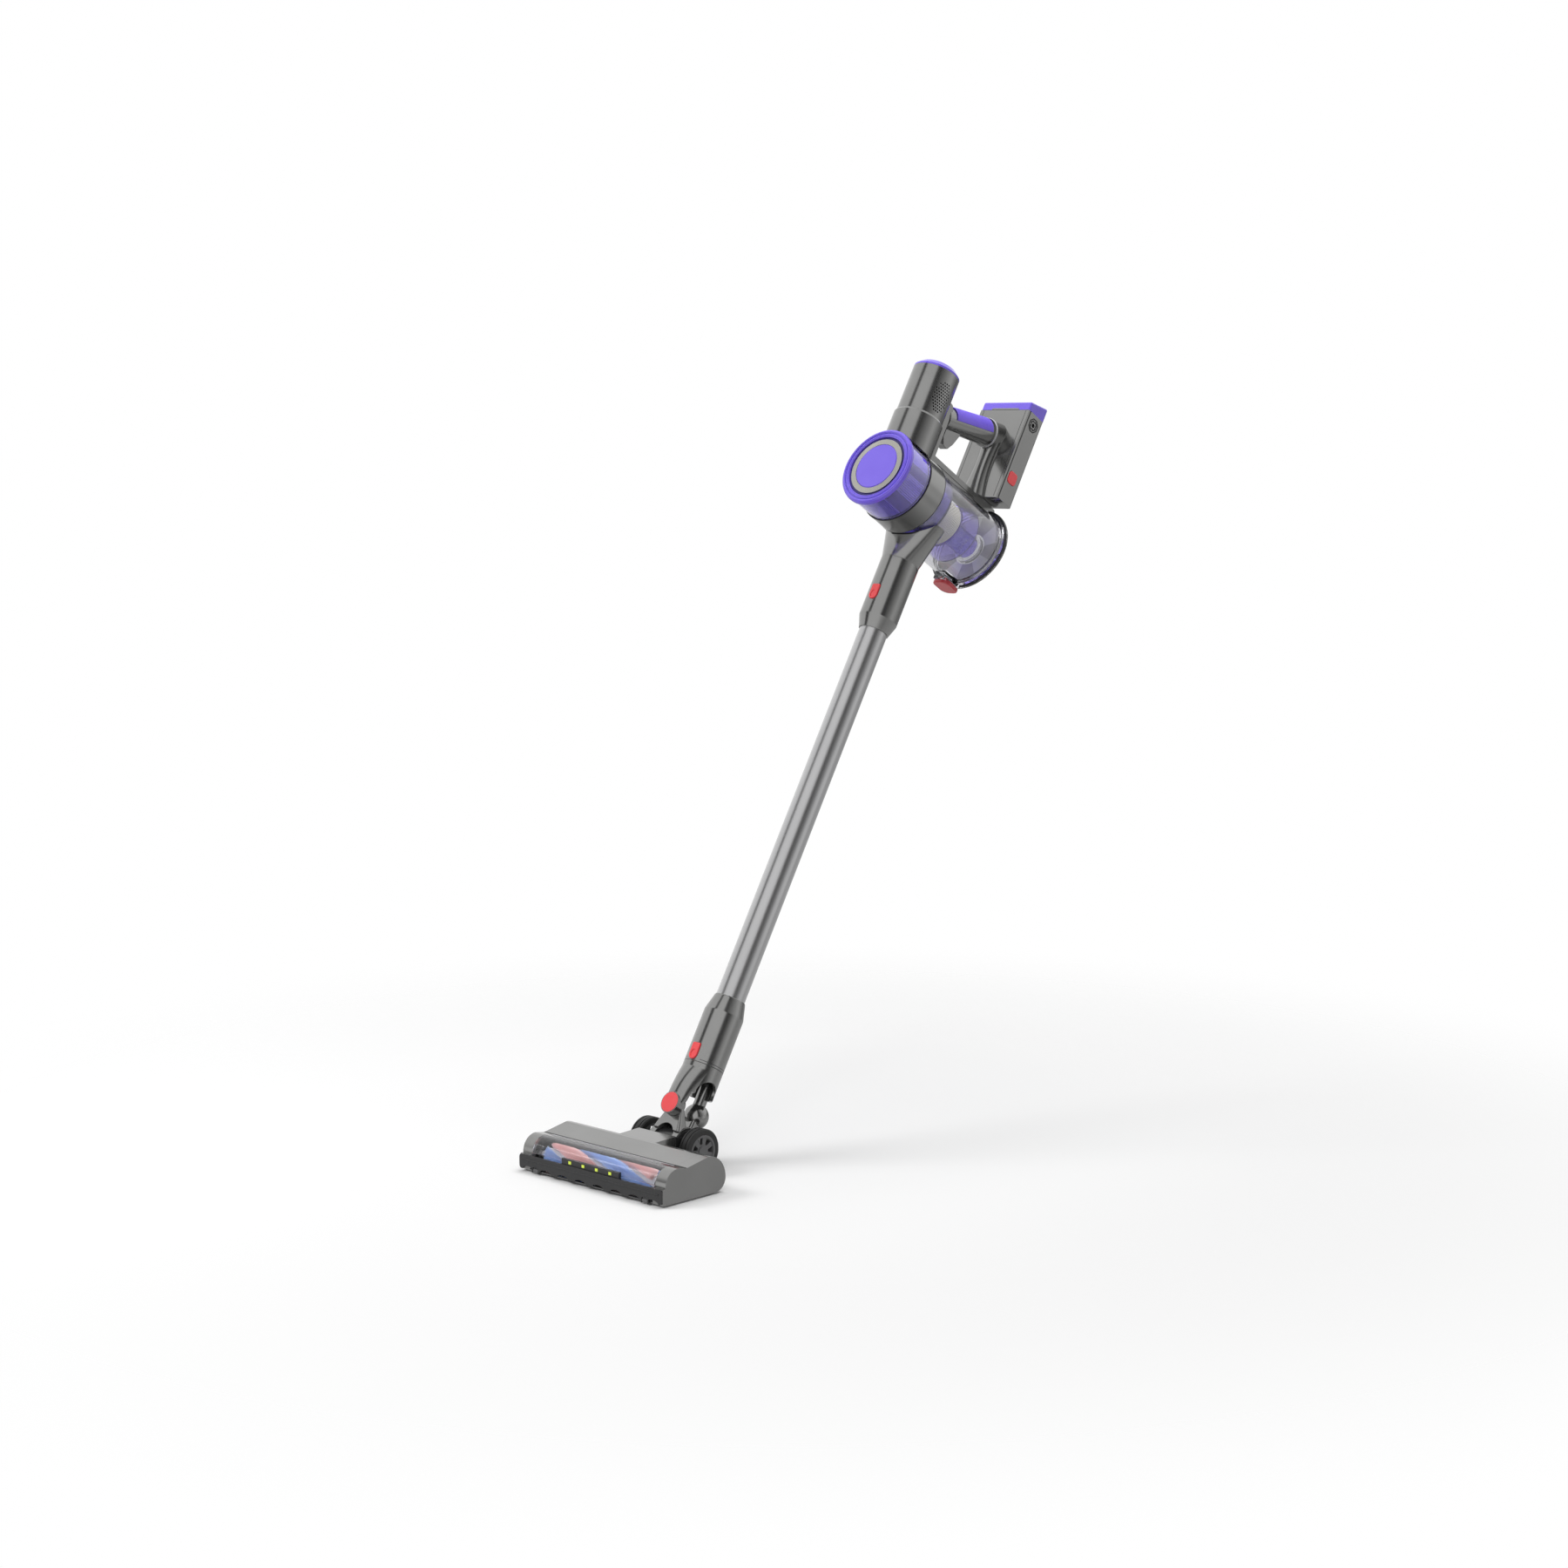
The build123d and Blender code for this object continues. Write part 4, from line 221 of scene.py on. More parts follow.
# Aluminium tube, drawn and satin anodised: fine lines along the tube that spread the lamps sideways, and a
# sealed oxide, the coat, that is white at its edges. The lines are drawn at 0.9 mm, as the real 0.05 mm
# doesn't show.
anodisedTube = {"colour": "#b6b6b7", "deep": "#afafb0", "edgeWearAndHighlight": "#d4d4d5", "edgeWearAndHighlightShare": 0.4, "edgeMm": 0.4,
                "cloudMm": 90, "grainMm": 0.9, "grainDepth": 0.004, "stretch": (1, 0.004, 0.004),
                "roughness": (0.29, 0.31),
                "shader": {"Metallic": 1.0, "Coat Weight": 1.0, "Coat IOR": 1.9, "Coat Roughness": 0.25}}
# Zinc ring, turned and plated satin: silver with soft bands round the ring, and near-white edges that are a
# painted highlight
platedRing = {"colour": "#bebdb6", "deep": "#b2b1aa", "edgeWearAndHighlight": "#fafaf6", "edgeWearAndHighlightShare": 1.0, "edgeMm": 0.9,
              "cloudMm": 25, "grainMm": 0.6, "grainDepth": 0.04, "roughness": (0.26, 0.34),
              "shader": {"Metallic": 1.0}}
# Steel wire and rod, drawn bright: small sharp glints
drawnSteel = {"colour": "#c2c2c4", "deep": "#b2b2b5", "edgeWearAndHighlight": "#e2e2e4", "edgeWearAndHighlightShare": 0.4, "edgeMm": 0.2,
              "cloudMm": 12, "grainMm": 0.5, "grainDepth": 0.05, "roughness": (0.22, 0.34),
              "shader": {"Metallic": 1.0}}
# Steel wire cloth, woven and nickel plated: a pale silver net with a sparkle on each wire
platedCloth = {"colour": "#fdfcf0", "deep": "#f4f2e4", "cloudMm": 8, "grainMm": 0.8, "grainDepth": 0.05,
               "roughness": (0.3, 0.42), "shader": {"Metallic": 0.1}}
# ABS moulded in a smooth tool and left pale: a light core that shows between the brush rows. The same pale colour
# is a painted highlight on the grip's collar ring and the window's top edge
paleCoreAndHighlight = {"colour": "#c9c9cc", "deep": "#bebec2", "edgeWearAndHighlight": "#e8e8ea", "edgeWearAndHighlightShare": 0.3, "edgeMm": 0.4,
            "cloudMm": 20, "grainMm": 0.8, "grainDepth": 0.05, "roughness": (0.3, 0.4),
            "shader": {"IOR": 1.53}}
# Rubber moulded soft and black: a dry, dusty dark that hardly shines
mouldedRubber = {"colour": "#262626", "deep": "#202020", "edgeWearAndHighlight": "#4a4a4a", "edgeWearAndHighlightShare": 0.5, "edgeMm": 0.5,
                 "cloudMm": 18, "grainMm": 0.8, "grainDepth": 0.15, "roughness": (0.5, 0.66),
                 "shader": {"IOR": 1.52}}
# Filter paper, glass fibre laid wet and folded: a cool white with a felted nap
laidPaper = {"colour": "#f2f2f4", "deep": "#dedee4", "edgeWearAndHighlight": "#ffffff", "edgeWearAndHighlightShare": 0.3, "edgeMm": 0.3,
             "cloudMm": 6, "grainMm": 0.5, "grainDepth": 0.25, "roughness": (0.8, 0.95),
             "shader": {"IOR": 1.45}}
# Nylon fibre spun and cut: soft coloured tufts with a silky side light
spunBlue = {"colour": "#bad4fc", "deep": "#acc9fa", "cloudMm": 9, "grainMm": 0.6, "grainDepth": 0.1,
            "roughness": (0.5, 0.65), "shader": {"IOR": 1.53, "Sheen Weight": 0.3}}
spunRed = {**spunBlue, "colour": "#ffd8d4", "deep": "#fcccc8"}
# Epoxy lens cast over a small lamp: a yellow-green face with a faint glow
castLens = {"colour": "#d6e65c", "deep": "#c8da48", "cloudMm": 3, "grainMm": 0.8, "grainDepth": 0.05,
            "roughness": (0.1, 0.2),
            "shader": {"IOR": 1.5, "Emission Color": linear("#d8ea58"), "Emission Strength": 0.25}}
# Shrink film drawn tight over the cells: thin, bright and slightly wavy
shrunkFilm = {"colour": "#3f6ea6", "deep": "#35629a", "edgeWearAndHighlight": "#7fa4cf", "edgeWearAndHighlightShare": 0.3, "edgeMm": 0.3,
              "cloudMm": 15, "grainMm": 4.0, "grainDepth": 0.1, "roughness": (0.15, 0.25),
              "shader": {"IOR": 1.5}}

finishes = {
    "grey_plastic": surfaceFinish("greyFlakeAbs", flakeGrey),
    "purple_plastic": surfaceFinish("purplePolishedAbs", polishedPurple),
    "purple_clear": surfaceFinish("purpleDyedPolycarbonate", dyedClear),
    "clear_plastic": surfaceFinish("clearPolishedPolycarbonate", polishedClear),
    "dark_plastic": surfaceFinish("darkMouldedNylon", darkNylon),
    "red_plastic": surfaceFinish("redPolishedAbs", polishedRed),
    "tube_metal": surfaceFinish("anodisedDrawnAluminium", anodisedTube),
    "steel": surfaceFinish("brightDrawnSteel", drawnSteel),
    "soft_black": surfaceFinish("blackMouldedRubber", mouldedRubber),
    "tread": surfaceFinish("treadMouldedRubber", mouldedRubber),
    "filter_media": surfaceFinish("foldedFilterPaper", laidPaper),
    "blue_fibre": surfaceFinish("blueSpunNylon", spunBlue),
    "red_fibre": surfaceFinish("redSpunNylon", spunRed),
    "light": surfaceFinish("castEpoxyLens", castLens),
    "cell_wrap": surfaceFinish("shrunkCellFilm", shrunkFilm),
}
gripRubber = surfaceFinish("purpleOvermouldRubber", overmouldPurple)
platedZinc = surfaceFinish("platedTurnedZinc", platedRing)
wireCloth = surfaceFinish("platedWireCloth", platedCloth)
paleAbsAndHighlight = surfaceFinish("paleAbsAndPaintedHighlight", paleCoreAndHighlight)
smokedPane = surfaceFinish("smokedClearPolycarbonate", smokedClear)
frostedPane = surfaceFinish("frostedBlastedPolycarbonate", frostedClear)
paintedShadePane = surfaceFinish("paintedShadeBlastedPolycarbonate", frostedPaintedShade)
rimNylon = surfaceFinish("greyMouldedNylon", greyNylon)
cageAbsAndGrooveShade = surfaceFinish("deepPurpleAbsAndGrooveShade", deepPurpleAndGrooveShade)
catchPaintedShadeRed = surfaceFinish("redAbsPaintedShade", paintedShadeRed)

# Nodes whose look differs from the rest of their slot
ownFinishes = {
    "grip_pad": gripRubber, "badge_ring": platedZinc, "brush_core": paleAbsAndHighlight, "bin_lid": smokedPane,
    "lid_catch": catchPaintedShadeRed, "charge_jack": finishes["grey_plastic"], "rim_left": rimNylon,
    "rim_right": rimNylon, "roller_left": rimNylon, "roller_right": rimNylon,
}
for piece in frame["record"]["subparts"]:
    for slot in nodes[piece["node"]].material_slots:
        slot.material = ownFinishes.get(piece["node"], finishes[piece["material_slot"]])
print("nodes with a finish:", len(nodes))


# Pieces that are finer than their solids


def addPiece(name, shape, material, body, sharp=35):
    verts, faces = shape
    mesh = bpy.data.meshes.new(name)
    mesh.from_pydata([tuple(v) for v in verts], [], faces)
    shell = bmesh.new()
    shell.from_mesh(mesh)
    bmesh.ops.recalc_face_normals(shell, faces=shell.faces)  # every closed shell faces outwards
    shell.to_mesh(mesh)
    shell.free()
    mesh.polygons.foreach_set("use_smooth", [True] * len(mesh.polygons))
    mesh.set_sharp_from_angle(angle=math.radians(sharp))
    mesh.materials.append(material)
    mesh.update()
    piece = bpy.data.objects.new(name, mesh)
    scene.collection.objects.link(piece)
    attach(piece, body)
    return piece


def skin(rings, loop=False):
    # walls between closed rings of points, with end faces unless the chain of rings is a loop
    count = len(rings[0])
    verts = [point for ring in rings for point in ring]
    faces = []
    for k in range(len(rings) if loop else len(rings) - 1):
        near, far = k * count, (k + 1) % len(rings) * count
        for i in range(count):
            j = (i + 1) % count
            faces.append((near + i, near + j, far + j, far + i))
    if not loop:
        faces.append(tuple(range(count - 1, -1, -1)))
        faces.append(tuple(range(len(verts) - count, len(verts))))
    return verts, faces


def joined(skins):
    verts, faces = [], []
    for partVerts, partFaces in skins:
        first = len(verts)
        verts += partVerts
        faces += [tuple(first + i for i in face) for face in partFaces]
    return verts, faces


def turned(outline, point, steps=160):
    # a closed outline of (station, radius) turned about an axis that point() knows
    return skin([[point(radius, 2 * math.pi * step / steps, station) for station, radius in outline]
                 for step in range(steps)], True)


def hoop(inner, outer, front, back):
    return turned([(front, inner), (front, outer), (back, outer), (back, inner)], binPoint)


def arcBand(radii, stations, turns, steps, point):
    # a band of square section between two turns in degrees, about an axis that point() knows
    inner, outer = radii
    low, high = stations
    rings = []
    for step in range(steps + 1):
        turn = math.radians(turns[0] + (turns[1] - turns[0]) * step / steps)
        rings.append([point(radius, turn, station) for radius, station in (
            (inner, low), (outer, low), (outer, high), (inner, high))])
    return skin(rings)


def squareBar(xs, acrosses, alongs):
    # a straight bar on the hand unit between two values each way
    corners = ((xs[0], acrosses[0]), (xs[1], acrosses[0]), (xs[1], acrosses[1]), (xs[0], acrosses[1]))
    return skin([[handPoint(x, across, along) for x, across in corners] for along in alongs])


def strandRing(centre, firstDir, secondDir, corners, size):
    return [centre + (firstDir * first + secondDir * second) * size * mm for first, second in corners]


# Brush: three-sided strands in four spiral rows, fanned out from the core; drawn 0.8 mm thick, as the real
# 0.1 mm would not show. Spread is half the fan in degrees, and rootFan the share of it left at the root.
brushRows = {"rows": 4, "pitch": 270.0, "halfLength": 86.0, "coreRadius": 9.4, "tipRadius": 15.9,
             "stations": 200, "tufts": 14, "spread": 38.0, "rootFan": 0.65, "strandWidth": 0.8,
             "tipTaper": 0.7, "uneven": 0.9, "lean": 0.8, "seed": 7,
             "corners": ((1, 0), (-0.5, 0.87), (-0.5, -0.87))}


def bristleRows(name, firstRow, material, node):
    random.seed(firstRow + brushRows["seed"])
    spread = math.radians(brushRows["spread"])
    strands = []
    for row in range(firstRow, brushRows["rows"], 2):
        for station in range(brushRows["stations"]):
            for tuft in range(brushRows["tufts"]):
                x = brushRows["halfLength"] * (2 * (station + random.random()) / brushRows["stations"] - 1)
                fan = spread * (2 * (tuft + random.random()) / brushRows["tufts"] - 1)
                middle = 2 * math.pi * (row / brushRows["rows"] + x / brushRows["pitch"])
                tip = brushRows["tipRadius"] - random.random() * brushRows["uneven"]
                lean = random.uniform(-brushRows["lean"], brushRows["lean"])
                around = Vector((0, -math.sin(middle + fan), math.cos(middle + fan)))
                rings = []
                for radius, turn, shift, taper in (
                        (brushRows["coreRadius"], middle + fan * brushRows["rootFan"], 0, 1),
                        (tip, middle + fan, lean, brushRows["tipTaper"])):
                    centre = Vector((x + shift, radius * math.cos(turn), radius * math.sin(turn))) * mm
                    rings.append(strandRing(brushCentre + centre, sideDir, around, brushRows["corners"],
                                            brushRows["strandWidth"] / 2 * taper))
                strands.append(skin(rings))
    piece = addPiece(name, joined(strands), material, "brush_roll", sharp=80)
    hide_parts(node)


bristleRows("blueBristleRows", 1, finishes["blue_fibre"], "blue_bristles")
bristleRows("redBristleRows", 0, finishes["red_fibre"], "red_bristles")
print("brush rows set")

# Shroud cloth: wires 1.3 mm thick on a 2.4 mm pitch; the real cloth is finer and would not show
weave = {"radius": 27.6, "front": -1.4, "back": 43.4, "warps": 72, "wefts": 20, "wire": 0.66, "lift": 0.4}


def clothStation(turn, share, wave):
    # a wire's centre at a share of the cloth's length, lifted over or under, and the way out from the axis
    across = weave["front"] + (weave["back"] - weave["front"]) * share
    out = (binPoint(1, turn, 0) - handPoint(0, 0, 0)).normalized()
    return binPoint(weave["radius"] + weave["lift"] * wave, turn, across), out


def clothWire(path, closed):
    half = math.sqrt(0.5)
    corners = ((half, half), (-half, half), (-half, -half), (half, -half))
    last = len(path) - 1
    rings = []
    for i, (centre, out) in enumerate(path):
        before = path[i - 1][0] if i or closed else centre
        after = path[(i + 1) % len(path)][0] if i < last or closed else centre
        side = (after - before).cross(out).normalized()
        rings.append(strandRing(centre, out, side, corners, weave["wire"]))
    return skin(rings, closed)


def wovenShroud():
    warps, wefts = weave["warps"], weave["wefts"]
    wires = []
    for warp in range(warps):
        turn = 2 * math.pi * warp / warps
        path = []
        for half in range(2 * wefts + 1):
            wave = (-1) ** (half // 2 + warp) if half % 2 else 0
            path.append(clothStation(turn, half / (2 * wefts), wave))
        wires.append(clothWire(path, False))
    for weft in range(wefts):
        path = []
        for half in range(2 * warps):
            wave = 0 if half % 2 else (-1) ** (half // 2 + weft + 1)
            path.append(clothStation(math.pi * half / warps, (weft + 0.5) / wefts, wave))
        wires.append(clothWire(path, True))
    piece = addPiece("wovenShroudCloth", joined(wires), wireCloth, "handheld", sharp=60)
    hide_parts("shroud_mesh")


wovenShroud()
print("shroud cloth woven")

# Filter paper: fold gives the share of a pleat's pitch, and whether that point lies in the valley
pleats = {"count": 120, "outer": 45.6, "inner": 40.5, "front": -92.6, "back": -55.0, "bore": 38.0,
          "fold": ((0.0, False), (0.5, False), (0.62, True), (0.88, True))}


def pleatedCartridge():
    front, back, bore = pleats["front"], pleats["back"], pleats["bore"]
    rings = []
    for pleat in range(pleats["count"]):
        for share, valley in pleats["fold"]:
            turn = 2 * math.pi * (pleat + share) / pleats["count"]
            radius = pleats["inner"] if valley else pleats["outer"]
            rings.append([binPoint(radius, turn, front), binPoint(radius, turn, back),
                          binPoint(bore, turn, back), binPoint(bore, turn, front)])
    piece = addPiece("pleatedFilterPaper", skin(rings, True), finishes["filter_media"], "filter_cartridge",
                     sharp=20)
    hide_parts("hepa_filter")


pleatedCartridge()

# Cage between the paper and the clear ring: two hoops, and broad bars by middle and half width in degrees
filterCage = {"radii": (45.75, 46.3), "hoops": ((-92.7, -90.6), (-56.8, -54.6)), "span": (-92.7, -54.6),
              "bars": ((4.4, 8.4), (-47.0, 10.8), (175.6, 8.4), (-133.0, 10.8)), "barSteps": 8}
cage = [hoop(*filterCage["radii"], front, back) for front, back in filterCage["hoops"]]
for middle, half in filterCage["bars"]:
    cage.append(arcBand(filterCage["radii"], filterCage["span"], (middle - half, middle + half),
                        filterCage["barSteps"], binPoint))
addPiece("filterCage", joined(cage), cageAbsAndGrooveShade, "filter_cartridge")
print("filter paper folded and caged")

# Lid: a fan of frosted facets inside it, which rise and fall by turns, in a light tone and a darker copy of it
# that is painted shade
lidFan = {"facets": 10, "steps": 12, "start": 15.0, "inner": 21.6, "outer": 46.6, "base": 106.35,
          "rises": (0.5, 1.7), "sharp": 2}
rings = []
for step in range(lidFan["facets"] * lidFan["steps"]):
    facet, share = divmod(step, lidFan["steps"])
    turn = math.radians(lidFan["start"] + 360 / lidFan["facets"] * step / lidFan["steps"])
    fromRise, toRise = lidFan["rises"][facet % 2], lidFan["rises"][1 - facet % 2]
    top = lidFan["base"] - fromRise - (toRise - fromRise) * share / lidFan["steps"]
    rings.append([binPoint(radius, turn, across) for radius, across in (
        (lidFan["inner"], lidFan["base"]), (lidFan["outer"], lidFan["base"]),
        (lidFan["outer"], top), (lidFan["inner"], top))])
fan = addPiece("lidFan", skin(rings, True), frostedPane, "lid", lidFan["sharp"])
# every other facet takes the darker copy: painted shade
fan.data.materials.append(paintedShadePane)
facetFaces = len(rings[0]) * lidFan["steps"]
for polygon in fan.data.polygons:
    polygon.material_index = polygon.index // facetFaces % 2

# Catch: thumb ridges on its two shoulders
catchRidges = {"stations": (80.0, 84.0, 88.0, 92.0), "from": 8.7, "to": 12.4, "top": -60.3, "rise": 1.1,
               "half": 0.8, "sunk": 0.3}
half, rise, sunk = catchRidges["half"], catchRidges["rise"], catchRidges["sunk"]
outline = [(-half, -sunk), (-half, rise / 2), (-half / 2, rise),
           (half / 2, rise), (half, rise / 2), (half, -sunk)]
ridges = []
for across in catchRidges["stations"]:
    for sign in (-1, 1):
        ridges.append(skin([[handPoint(sign * x, across + step, catchRidges["top"] + lift)
                             for step, lift in outline] for x in (catchRidges["from"], catchRidges["to"])]))
addPiece("catchRidges", joined(ridges), catchPaintedShadeRed, "catch")
print("lid fan and catch ridges made")

# Dark rubber lines where the collar meets the filter and the bin
collarGaskets = {"stations": {"front": -53.8, "rear": -23.7}, "halfWidth": 0.55,
                 "root": 47.6, "shoulder": 49.95, "crown": 50.25}
for side, station in collarGaskets["stations"].items():
    front, back = station - collarGaskets["halfWidth"], station + collarGaskets["halfWidth"]
    outline = [(front, collarGaskets["root"]), (front, collarGaskets["shoulder"]),
               (station, collarGaskets["crown"]),
               (back, collarGaskets["shoulder"]), (back, collarGaskets["root"])]
    addPiece(side + "CollarGasket", turned(outline, binPoint), finishes["soft_black"], "handheld")
print("collar gaskets turned")

# Cap: turned beads on its face by radius, half width and rise, and a dark purple ring round the silver ring that
# is painted shade in the groove there
capFace = {"face": -98.5, "beads": ((47.9, 1.5, 0.9), (43.2, 1.1, 0.7), (41.3, 0.7, 0.5)), "sunk": 0.4,
           "shoulderWidth": 0.6, "shoulderRise": 0.75,  # shares of a bead's half width and rise
           "grooveShadeRadii": (37.1, 39.6), "grooveShadeDepth": 1.6, "grooveShadeFloor": 3.0}
face = capFace["face"]
beads = []
for radius, half, rise in capFace["beads"]:
    shoulder, edge = half * capFace["shoulderWidth"], face - rise * capFace["shoulderRise"]
    outline = [(face + capFace["sunk"], radius - half), (edge, radius - shoulder), (face - rise, radius),
               (edge, radius + shoulder), (face + capFace["sunk"], radius + half)]
    beads.append(turned(outline, binPoint))
addPiece("capBeads", joined(beads), finishes["purple_plastic"], "filter_cartridge",
         sharp=60)
grooveShade = hoop(*capFace["grooveShadeRadii"], face + capFace["grooveShadeDepth"], face + capFace["grooveShadeFloor"])
addPiece("badgeGrooveShade", grooveShade, cageAbsAndGrooveShade, "filter_cartridge")

# Motor housing: a dark sheet behind each patch of vents, painted shade so the holes read black, by its turns in
# degrees
ventShadeSheet = {"offset": -61.0, "radii": (25.7, 26.3), "turns": ((-20.0, 40.0), (140.0, 200.0)),
              "span": (92.0, 138.0), "steps": 12}


def motorPoint(radius, turn, along):
    return handPoint(radius * math.cos(turn), ventShadeSheet["offset"] - radius * math.sin(turn), along)


shadeSheets = [arcBand(ventShadeSheet["radii"], ventShadeSheet["span"], turns, ventShadeSheet["steps"], motorPoint)
           for turns in ventShadeSheet["turns"]]
addPiece("ventShadeSheets", joined(shadeSheets), finishes["soft_black"], "handheld")
print("cap beads and vent screens made")

# Grip: cross ribs moulded in the pad, and the collar ring where the grip meets the battery dock, coloured pale as
# a painted highlight
gripFrame = {"start": (0, -24, 112.3), "slope": 18.6}  # its axis at the front, and degrees up to the rear
gripAngle = math.radians(gripFrame["slope"])
gripDir = acrossDir * math.cos(gripAngle) + alongDir * math.sin(gripAngle)
gripUp = alongDir * math.cos(gripAngle) - acrossDir * math.sin(gripAngle)
gripStart = handPoint(*gripFrame["start"])
gripRibs = {"first": 15.0, "last": 77.6, "pitch": 2.3, "halfWidth": 0.75, "rise": 0.4, "shoulder": 0.7,
            "sunk": 0.3, "reach": 84.0, "halfSteps": 12, "padRadius": 15.9, "taper": 2 / 84,
            "endRise": 0.1, "fade": 4}  # ribs fade out over a quarter of their reach
gripCollar = {"start": 84.7, "end": 88.0, "radius": 18.75, "root": 17.6, "edgeDrop": 0.4, "edgeWidth": 0.5,
              "steps": 96}


def gripPoint(radius, turn, station):
    out = gripUp * math.cos(turn) + sideDir * math.sin(turn)
    return gripStart + gripDir * station * mm + out * radius * mm


def gripRib(station):
    radius, half = gripRibs["padRadius"] + station * gripRibs["taper"], gripRibs["halfWidth"]
    rings = []
    for step in range(-gripRibs["halfSteps"], gripRibs["halfSteps"] + 1):
        share = step / gripRibs["halfSteps"]
        rise = gripRibs["rise"] * min(1, gripRibs["fade"] * (1 - abs(share)) + gripRibs["endRise"])
        outline = [(-half, -gripRibs["sunk"]), (-half / 2, rise * gripRibs["shoulder"]), (0, rise),
                   (half / 2, rise * gripRibs["shoulder"]), (half, -gripRibs["sunk"])]
        rings.append([gripPoint(radius + lift, math.radians(gripRibs["reach"]) * share, station + side)
                      for side, lift in outline])
    return skin(rings)


ribs = []
station = gripRibs["first"]
while station <= gripRibs["last"]:
    ribs.append(gripRib(station))
    station += gripRibs["pitch"]
addPiece("gripPadRibs", joined(ribs), gripRubber, "handheld", sharp=50)
start, end, crown = gripCollar["start"], gripCollar["end"], gripCollar["radius"]
outline = [(start, gripCollar["root"]), (start, crown - gripCollar["edgeDrop"]),
           (start + gripCollar["edgeWidth"], crown), (end - gripCollar["edgeWidth"], crown),
           (end, crown - gripCollar["edgeDrop"]), (end, gripCollar["root"])]
# the collar ring is real; its pale colour is a painted highlight
addPiece("gripCollarHighlight", turned(outline, gripPoint, gripCollar["steps"]), paleAbsAndHighlight, "handheld")

# Beam: dark grooves along its top edges, and along its sides where it meets the bin
beamGrooves = {"span": (-15.5, 66.0), "top": 58.0, "topLine": (10.4, 11.2), "side": 13.0,
               "sideLine": (50.6, 51.4), "proud": 0.06, "depth": 0.3}
topDepth = (beamGrooves["top"] - beamGrooves["depth"], beamGrooves["top"] + beamGrooves["proud"])
sideDepth = (beamGrooves["side"] - beamGrooves["depth"], beamGrooves["side"] + beamGrooves["proud"])
grooves = []
for sign in (-1, 1):
    for xs, alongs in ((beamGrooves["topLine"], topDepth), (sideDepth, beamGrooves["sideLine"])):
        grooves.append(squareBar([sign * x for x in xs], beamGrooves["span"], alongs))
addPiece("beamGrooves", joined(grooves), finishes["soft_black"], "handheld")
print("grip ribs, collar and beam grooves made")

# Battery: a dark joint line along each side of the dock
dockJoint = {"face": (38.6, 39.07), "width": (78.7, 79.5), "span": (60.5, 183.5)}
lines = [squareBar([sign * x for x in dockJoint["face"]], dockJoint["width"], dockJoint["span"])
         for sign in (-1, 1)]
addPiece("dockJointLines", joined(lines), finishes["soft_black"], "handheld")

# The charging port's moulded surround: frames by outer and inner half width, sides and how round a corner
# is, and a ring of dashes between them
portSurround = {"across": 93.0, "along": 170.5, "root": 38.7, "face": 39.3, "steps": 64,
                "frames": ((8.8, 7.5, 8, 0.93), (5.3, 4.2, 4, 0.8)),
                "dashes": 8, "dashReach": (5.9, 6.9), "dashHalfTurn": 0.14}


def portSection(inner, outer, turn):
    root, face = portSurround["root"], portSurround["face"]
    return [handPoint(x, portSurround["across"] + reach * math.cos(turn),
                      portSurround["along"] + reach * math.sin(turn))
            for x, reach in ((root, inner), (face, inner), (face, outer), (root, outer))]


portRings = []
for outer, inner, sides, corner in portSurround["frames"]:
    rings = []
    for step in range(portSurround["steps"]):
        turn = 2 * math.pi * step / portSurround["steps"]
        # a polygon with its corners rounded off
        swell = 1 / max(math.cos((turn + math.pi / sides) % (2 * math.pi / sides) - math.pi / sides), corner)
        rings.append(portSection(inner * swell, outer * swell, turn))
    portRings.append(skin(rings, True))
for dash in range(portSurround["dashes"]):
    turn = 2 * math.pi * (dash + 0.5) / portSurround["dashes"]
    edges = (turn - portSurround["dashHalfTurn"], turn + portSurround["dashHalfTurn"])
    portRings.append(skin([portSection(*portSurround["dashReach"], edge) for edge in edges]))
addPiece("chargePortSurround", joined(portRings), finishes["soft_black"], "battery")

# Dock face: a fine seam near each side, and the grey tongue that stands up into the purple cap
dockFace = {"seam": (33.6, 34.2), "depth": (75.94, 76.3), "span": (60.0, 183.0)}
seams = [squareBar([sign * x for x in dockFace["seam"]], dockFace["depth"], dockFace["span"])
         for sign in (-1, 1)]
addPiece("dockSeams", joined(seams), finishes["soft_black"], "handheld")
capTongue = {"half": 22.0, "low": 184.0, "top": 186.2, "corner": 1.2, "depth": (75.75, 76.6)}
half, top, corner = capTongue["half"], capTongue["top"], capTongue["corner"]
outline = [(-half, capTongue["low"]), (half, capTongue["low"]), (half, top - corner), (half - corner, top),
           (corner - half, top), (-half, top - corner)]
rings = [[handPoint(x, across, along) for x, along in outline] for across in capTongue["depth"]]
addPiece("capTongue", skin(rings), finishes["grey_plastic"], "battery")
print("battery joint and port surround made")

# Head: dark gasket in the crease over the window, a pale strip on the window's top edge that is a painted
# highlight, and the ridge along the front lip
headBars = {
    "windowGasket": {"half": 116.4, "finish": finishes["soft_black"], "slot": "soft_black", "outline": (
        (-94.9, 37.2), (-94.9, 37.95), (-93.6, 37.78), (-92.5, 37.95), (-92.5, 37.2))},
    "windowEdgeHighlight": {"half": 100.6, "finish": paleAbsAndHighlight, "slot": "clear_plastic", "outline": (
        (-97.0, 37.7), (-97.0, 38.4), (-96.4, 38.45), (-95.8, 38.2), (-95.8, 37.7))},
    "lipRidge": {"half": 112.0, "finish": finishes["dark_plastic"], "slot": "dark_plastic", "outline": (
        (-131.8, 15.4), (-132.7, 14.9), (-132.7, 13.9), (-131.8, 13.4))},
}
